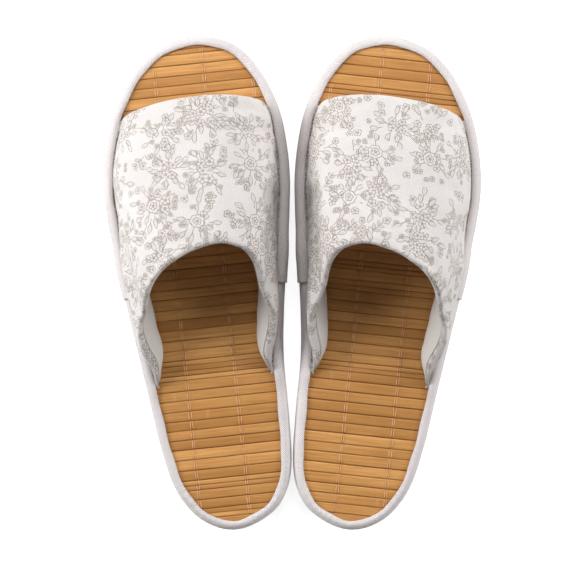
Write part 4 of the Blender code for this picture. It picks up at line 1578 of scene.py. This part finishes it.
# ---------------------------------------------------------------- the upper
class PaddedPull:
    """How the padding fills out the upper: cloth simulated over the wall, read back as its face's moves."""

    columns = 61
    rows = 47
    pressure = 3.5
    most = 1.8 * MM
    plain_swelling = 1.3 * MM
    frames = 20
    tension = 12.0
    compression = 8.0
    bending = 0.6
    growth = -0.025  # negative, so that the cloth is a little larger than its form
    outer_share = 0.2  # how much of the move is left on the outer side, and where it grows to the whole
    outer_side = (0.05, 0.40)

    def __init__(self) -> None:
        t, s = np.meshgrid(np.linspace(0, 1, self.columns), np.linspace(0, 1, self.rows))
        y = VAULT.front(t) + (VAULT.collar(t) - VAULT.front(t)) * s
        self.t, self.y = t, y
        outer = VAULT.point(t, y)
        normal = VAULT.normal(t, y)
        inner = VAULT.inside(t, y, VAULT.wall(t, y))
        moved = self.simulated(outer, inner)
        move = moved - outer
        for _ in range(2):
            sides = move[:-2, 1:-1] + move[2:, 1:-1] + move[1:-1, :-2] + move[1:-1, 2:]
            move[1:-1, 1:-1] = (move[1:-1, 1:-1] * 2 + sides) / 6
        size = np.linalg.norm(move, axis=-1, keepdims=True)
        self.move = move * np.minimum(1.0, self.most / np.maximum(size, 1e-9))
        greatest = np.linalg.norm(self.move, axis=-1).max()
        log.info("padding fills out the upper by up to %.2f mm", greatest / MM)

    def simulated(self, outer: Array, inner: Array) -> Array:
        """Where cloth over the wall comes to rest, held at its seams and blown up a little from inside."""
        rows, columns = outer.shape[:2]
        count = rows * columns
        faces = grid_faces(rows, columns)
        faces += [tuple(count + i for i in reversed(face)) for face in faces]
        rim = [(0, c) for c in range(columns)] + [(r, columns - 1) for r in range(1, rows)]
        rim += [(rows - 1, c) for c in range(columns - 2, -1, -1)] + [(r, 0) for r in range(rows - 2, 0, -1)]
        loop = [r * columns + c for r, c in rim]
        faces += [(a, b, count + b, count + a) for a, b in zip(loop, loop[1:] + loop[:1])]
        points = np.concatenate([outer.reshape(-1, 3), inner.reshape(-1, 3)])
        obj = make_piece("padded_form", points, faces)
        held = obj.vertex_groups.new(name="seams")
        held.add(sorted(set(loop)) + list(range(count, 2 * count)), 1.0, "REPLACE")
        cloth = obj.modifiers.new("cloth", "CLOTH")
        settings = cloth.settings
        settings.vertex_group_mass = "seams"
        settings.effector_weights.gravity = 0.0
        settings.use_pressure = True
        settings.uniform_pressure_force = self.pressure
        settings.tension_stiffness = self.tension
        settings.compression_stiffness = self.compression
        settings.shrink_min = self.growth
        settings.bending_stiffness = self.bending
        cloth.collision_settings.use_collision = False
        cloth.point_cache.frame_start, cloth.point_cache.frame_end = 1, self.frames
        scene = bpy.context.scene
        for number in range(1, self.frames + 1):
            scene.frame_set(number)
        graph = bpy.context.evaluated_depsgraph_get()
        result = coordinates(obj.evaluated_get(graph).to_mesh())[:count].reshape(outer.shape).copy()
        scene.frame_set(1)
        bpy.data.objects.remove(obj)
        return result

    def at(self, t: Array, s: Array) -> Array:
        """The move at t over the foot and s of the way to the collar; it is less on the outer side."""
        column = np.clip(t, 0, 1) * (self.columns - 1)
        row = np.clip(s, 0, 1) * (self.rows - 1)
        c = np.minimum(column.astype(int), self.columns - 2)
        r = np.minimum(row.astype(int), self.rows - 2)
        u, v = (column - c)[..., None], (row - r)[..., None]
        top = self.move[r, c] * (1 - u) + self.move[r, c + 1] * u
        low = self.move[r + 1, c] * (1 - u) + self.move[r + 1, c + 1] * u
        eased = self.outer_share + (1.0 - self.outer_share) * smooth(*self.outer_side, t)
        return (top * (1 - v) + low * v) * eased[..., None]


TUCK_ROWS = 4
TACK_STRANDS = 3
TACK_SPACING = 0.36 * MM
TACK_FAN = 0.16  # how much each strand of a tack leans to the next
RIGHT_CLOTH = (0.31, 0.043)  # the right cover is cut from another place on the printed cloth


@dataclass
class Upper:
    """The padded upper: printed cover, wadding, lining, and the tacks at its wing tips."""

    foot: Foot
    pull: PaddedPull
    columns: int = 141
    rows: int = 112
    turns: int = 9
    roll: float = 1.5 * MM
    tuck: float = 4.0 * MM
    tuck_gap: float = 0.25 * MM  # how far above the wall's inner face the tuck starts
    tuck_slope: float = 0.5 * MM  # and how much farther above it ends
    cover_cloth: float = 0.5 * MM
    lining_cloth: float = 0.45 * MM
    side_crowding: float = 0.62
    swell: tuple[float, float] = (0.20 * MM, 26 * MM)  # height and size of the cover's unevenness
    wrinkle: tuple[float, float] = (0.08 * MM, 8 * MM)
    crease_place: float = 0.2
    crease_width: float = 0.03
    crease_depth: float = 0.35 * MM
    lining_margin: float = 1.1 * MM  # from the collar's and the opening's edges
    lining_tight: float = 0.15 * MM  # how far its seams lie inside the wall's inner face
    lining_loose: float = 0.10 * MM  # and how far off that face the rest hangs, give or take its ripple
    lining_ripple: tuple[float, float] = (0.16 * MM, 12 * MM)
    wadding_margin: float = 2.2 * MM
    wadding_top: tuple[float, float] = (1.15 * MM, 0.45)  # below the outer face, at most a share of the wall
    wadding_low: tuple[float, float] = (0.75 * MM, 0.6)  # above the inner face, at least a share of the wall
    over_width: float = 0.15  # about the cloth's width over the foot, for reading random fields on it

    def over(self, count: int) -> Array:
        """Shares over the foot, closer together at the sides."""
        u = np.linspace(0.0, 1.0, count)
        return u - self.side_crowding * np.sin(math.tau * u) / math.tau

    def spread(self, t: Array, s: Array) -> tuple[Array, Array]:
        """The y at share s of the way from toe opening to collar, and that whole distance."""
        front, collar = VAULT.front(t), VAULT.collar(t)
        return front + (collar - front) * s, front - collar

    def outer(self, t: Array, s: Array) -> Array:
        """The cover's outer face, filled out by its padding and a little uneven."""
        y, _ = self.spread(t, s)
        point = VAULT.point(t, y) + self.pull.at(t, s)
        seed = self.foot.seed
        (swell, swell_size), (wrinkle, wrinkle_size) = self.swell, self.wrinkle
        uneven = swell * ripple(point[..., 0], y, swell_size, seed)
        uneven = uneven + wrinkle * ripple(t * 0.16, y, wrinkle_size, seed + 1)
        crease = np.exp(-(((t - self.crease_place) / self.crease_width) ** 2))
        creases = self.crease_depth * crease * smooth(0.07, 0.03, y) * smooth(-0.03, 0.0, y)
        fade = smooth(0.0, 0.04, t) * smooth(1.0, 0.96, t)
        return point + VAULT.normal(t, y) * ((uneven - creases) * fade)[..., None]

    def rolled(self, t: Array, front: bool) -> Array:
        """The rows that carry the cover round an edge and tuck it in, from the outer face inwards."""
        margin = self.roll / self.spread(t, t)[1]
        s = margin if front else 1.0 - margin
        start = self.outer(t, s)
        y, whole = self.spread(t, s)
        wall = VAULT.wall(t, y)
        inner = VAULT.inside(t, y, wall - self.tuck_gap * wall / wall.max())
        tangent = unit(np.gradient(start, axis=0))
        normal = unit(start - inner)
        outwards = unit(np.cross(tangent, normal))
        outwards *= np.sign(outwards[:, 1:2]) * (1.0 if front else -1.0)
        middle, half = (start + inner) / 2, np.linalg.norm(start - inner, axis=-1, keepdims=True) / 2
        bulge = np.minimum(half, self.roll)
        rows = []
        for angle in np.linspace(0.0, math.pi, self.turns + 2)[1:]:
            rows.append(middle + normal * half * math.cos(angle) + outwards * bulge * math.sin(angle))
        for step in np.linspace(0.25, 1.0, TUCK_ROWS):
            deeper = s + (1.0 if front else -1.0) * self.tuck * step / whole
            y_in, _ = self.spread(t, deeper)
            wall = VAULT.wall(t, y_in)
            above = (self.tuck_gap + self.tuck_slope * step) * wall / wall.max()
            rows.append(VAULT.inside(t, y_in, wall - above))
        rows = np.array(rows)
        rows[..., 2] = np.maximum(rows[..., 2], LEVELS.upper_root)
        return rows

    def cover_grid(self) -> Array:
        """The cover's points: toe-end tuck, roll, outer face, roll, collar-end tuck; then the flanges."""
        t = self.over(self.columns)
        margin = self.roll / self.spread(t, t)[1]
        shares = np.linspace(0, 1, self.rows)
        outer = np.array([self.outer(t, margin + (1 - 2 * margin) * share) for share in shares])
        grid = np.concatenate([self.rolled(t, True)[::-1], outer, self.rolled(t, False)])
        left, right = [], []
        for inner, out in ((False, left), (True, right)):
            root = grid[:, -1 if inner else 0]
            y = np.clip(root[:, 1], VAULT.collar_knots[0][1], VAULT.front_corner)
            for step in (1.0, 0.55):
                inset = VAULT.root_inset + (VAULT.flange_inset - VAULT.root_inset) * step
                x = EDGE.x_at(y, inset, inner)
                z = np.full(len(x), LEVELS.upper_root + VAULT.cover)
                out.append(np.column_stack([x, root[:, 1], z]))
        parts = [np.stack(left, axis=1), grid, np.stack(right[::-1], axis=1)]
        return np.concatenate(parts, axis=1)

    def cloth_places(self, grid: Array) -> Array:
        """Each point's place on the flat cloth, by walking over the surface from the crown."""
        over = np.linalg.norm(np.diff(grid, axis=1)[..., [0, 2]], axis=-1)
        u = np.concatenate([np.zeros((len(grid), 1)), np.cumsum(over, axis=1)], axis=1)
        middle = grid.shape[1] // 2
        u = u - u[:, middle : middle + 1]
        along = np.linalg.norm(np.diff(grid, axis=0), axis=-1)
        v = np.concatenate([np.zeros((1, grid.shape[1])), -np.cumsum(along, axis=0)])
        start = self.turns + 1 + TUCK_ROWS
        v = v - v[start : start + 1] + grid[start : start + 1, :, 1]
        if self.foot is Foot.RIGHT:
            return np.stack([RIGHT_CLOTH[0] - u, v + RIGHT_CLOTH[1]], axis=-1)
        return np.stack([u, v], axis=-1)

    def build_cover(self, placement: Placement) -> bpy.types.Object:
        """The printed cover."""
        grid = self.cover_grid()
        rows, columns = grid.shape[:2]
        obj = make_piece(
            f"{self.foot.value}_upper_cover_cloth", grid, grid_faces(rows, columns), self.cloth_places(grid)
        )
        self.face_up(obj)
        thicken(obj, self.cover_cloth)
        return into_place(obj, placement)

    @staticmethod
    def face_up(obj: bpy.types.Object) -> None:
        """Turns an open vault so that its crown's faces look up."""
        crown = max(obj.data.polygons, key=lambda p: p.center.z)
        if crown.normal.z < 0:
            obj.data.flip_normals()

    def lining_grid(self) -> tuple[Array, Array]:
        """The lining's points and their places on its cloth."""
        t, s = np.meshgrid(self.over(101), np.linspace(0.0, 1.0, 84))
        whole = self.spread(t, s)[1]
        margin = self.lining_margin / whole
        y, _ = self.spread(t, margin + (1 - 2 * margin) * s)
        free = smooth(0.0, 1.8 * MM, np.minimum(s, 1.0 - s) * whole)
        over = t * self.over_width
        height, size = self.lining_ripple
        soft = self.lining_loose + height * ripple(over, y, size, self.foot.seed + 5)
        depth = VAULT.wall(t, y) - self.lining_tight + (self.lining_tight + soft) * free
        points = VAULT.inside(t, y, depth)
        return points, np.stack([over, y], axis=-1)

    def lining_flat(self) -> tuple[float, float, float]:
        """The lining's greatest width over the foot, its greatest length, and its area."""
        points, _ = self.lining_grid()
        over, along = np.diff(points, axis=1), np.diff(points, axis=0)
        cells = np.cross(over[:-1], along[:, :-1])
        area = float(np.linalg.norm(cells, axis=-1).sum())
        width = float(np.linalg.norm(over, axis=-1).sum(axis=1).max())
        reach = float(points[..., 1].max() - points[..., 1].min())
        return width, max(reach, area / width), area

    def build_lining(self, placement: Placement) -> bpy.types.Object:
        """The pale lining inside the wall."""
        points, cloth = self.lining_grid()
        rows, columns = points.shape[:2]
        name = f"{self.foot.value}_upper_lining_cloth"
        obj = make_piece(name, points, grid_faces(rows, columns), cloth)
        self.face_up(obj)
        thicken(obj, self.lining_cloth)
        return into_place(obj, placement)

    def build_wadding(self, placement: Placement) -> bpy.types.Object:
        """The wadding between the cover and the lining, a closed form."""
        t, s = np.meshgrid(self.over(81), np.linspace(0.0, 1.0, 60))
        margin = self.wadding_margin / self.spread(t, s)[1]
        share = margin + (1 - 2 * margin) * s
        y, _ = self.spread(t, share)
        wall = VAULT.wall(t, y)
        (below, most), (above, least) = self.wadding_top, self.wadding_low
        top = VAULT.inside(t, y, np.minimum(below, wall * most)) + self.pull.at(t, share) * 0.9
        low = VAULT.inside(t, y, np.maximum(wall - above, wall * least))
        ring = np.concatenate([top, low[:, ::-1]], axis=1)
        obj = make_piece(f"{self.foot.value}_upper_wadding", ring, closed_faces(*t.shape))
        return into_place(obj, placement)

    def build_tacks(self, placement: Placement) -> None:
        """A few thread strands over each wing tip."""
        inset = VAULT.root_inset + 0.4 * MM
        for row, inner in (("lateral", False), ("medial", True)):
            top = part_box(f"{self.foot.value}_wing_tack_{row}")[1].z
            tip = VAULT.collar_knots[-1 if inner else 0][1]
            share = EDGE.share_at(tip + 0.2 * MM, inset, inner)
            base, ahead = EDGE.at(np.array([share, share + (0.001 if inner else -0.001)]), inset)
            way = unit(ahead - base)
            side = np.array([-way[1], way[0]])
            steps = np.arange(TACK_STRANDS) - (TACK_STRANDS - 1) / 2
            points = np.array([[*(base + side * step * TACK_SPACING), top + 0.05 * MM] for step in steps])
            ways = unit(np.array([[*(way - side * step * TACK_FAN), 0.0] for step in steps]))
            name = f"{self.foot.value}_wing_tack_{row}_strands"
            obj = Stitches(length=2.3 * MM, radius=0.16 * MM).build(name, points, ways, placement)
            finish_piece(obj, self.foot, SEWING_THREAD, [f"wing_tack_{row}"])

    def build(self, placement: Placement) -> None:
        """Makes and dresses the upper's pieces."""
        wadding = self.build_wadding(placement)
        finish_piece(wadding, self.foot, WADDING, ["upper_padding"])
        cover = self.build_cover(placement)
        finish_piece(cover, self.foot, PRINTED_TWILL, ["upper_cover"])
        lining = self.build_lining(placement)
        finish_piece(lining, self.foot, LINING_CLOTH, ["upper_lining"])
        width, length, area = self.lining_flat()
        log.info("lining, laid flat: %.0f x %.0f mm, %.4f m2", width / MM, length / MM, area)
        self.build_tacks(placement)


# ---------------------------------------------------------------- stage
@dataclass(frozen=True)
class Studio:
    """A pale floor, soft lights at both sides and beyond the toes, and the camera straight above."""

    camera_height: float = 1.0
    lens: float = 113.4
    left_power: float = 15.5
    right_power: float = 11.0
    toe_power: float = 8.0
    world_strength: float = 0.10
    floor_size: float = 12.0
    floor_glow: float = 0.80  # seen by the camera only, so that it lights nothing

    def light(self, name: str, at: tuple[float, float, float], size: float, power: float) -> None:
        """A soft square light that looks at the slippers."""
        data = bpy.data.lights.new(name, "AREA")
        data.size, data.energy = size, power
        obj = new_object(name, data)
        obj.location = at
        obj.rotation_euler = (-Vector(at)).to_track_quat("-Z", "Y").to_euler()

    def floor(self) -> None:
        """A wide pale floor."""
        mesh = bpy.data.meshes.new("floor")
        far = self.floor_size / 2
        corners = [(-far, -far, 0), (far, -far, 0), (far, far, 0), (-far, far, 0)]
        mesh.from_pydata(corners, [], [(0, 1, 2, 3)])
        obj = new_object("floor", mesh)
        material = bpy.data.materials.new("pale floor")
        material.use_nodes = True
        tree = material.node_tree
        shader = tree.nodes["Principled BSDF"]
        shader.inputs["Base Color"].default_value = (0.93, 0.93, 0.93, 1.0)
        shader.inputs["Roughness"].default_value = 0.9
        shader.inputs["Emission Color"].default_value = (1.0, 1.0, 1.0, 1.0)
        seen = Num(tree, add_node(tree, "ShaderNodeLightPath").outputs["Is Camera Ray"])
        feed(tree, shader.inputs["Emission Strength"], seen * self.floor_glow)
        mesh.materials.append(material)

    def camera(self) -> None:
        """The camera, looking straight down."""
        data = bpy.data.cameras.new("camera")
        data.lens = self.lens
        data.sensor_width = 36.0
        data.clip_start, data.clip_end = 0.05, 20.0
        obj = new_object("camera", data)
        obj.location = (*MODEL_MIDDLE, self.camera_height)
        bpy.context.scene.camera = obj

    def build(self) -> None:
        """Sets up the world, lights, floor and camera."""
        scene = bpy.context.scene
        scene.view_settings.view_transform = "Standard"
        world = bpy.data.worlds.new("soft room")
        world.use_nodes = True
        background = world.node_tree.nodes["Background"]
        background.inputs["Color"].default_value = (1.0, 0.99, 0.985, 1.0)
        background.inputs["Strength"].default_value = self.world_strength
        scene.world = world
        for name, x, power in (("left", -1.1, self.left_power), ("right", 1.1, self.right_power)):
            self.light(f"{name} softbox", (x, 0.28, 0.64), 0.7, power)
        self.light("toe softbox", (0.0, 1.0, 1.0), 0.8, self.toe_power)
        self.floor()
        self.camera()


def main() -> None:
    """Builds both slippers, then the stage."""
    logging.basicConfig(level=logging.INFO, format="%(name)s: %(message)s")
    pull = PaddedPull()
    for foot in Foot:
        placement = Placement(foot)
        SoleStack(foot).build(placement)
        BambooMat(foot).build(placement)
        Binding(foot).build(placement)
        Upper(foot, pull).build(placement)
    Studio().build()


if __name__ == "__main__":
    main()
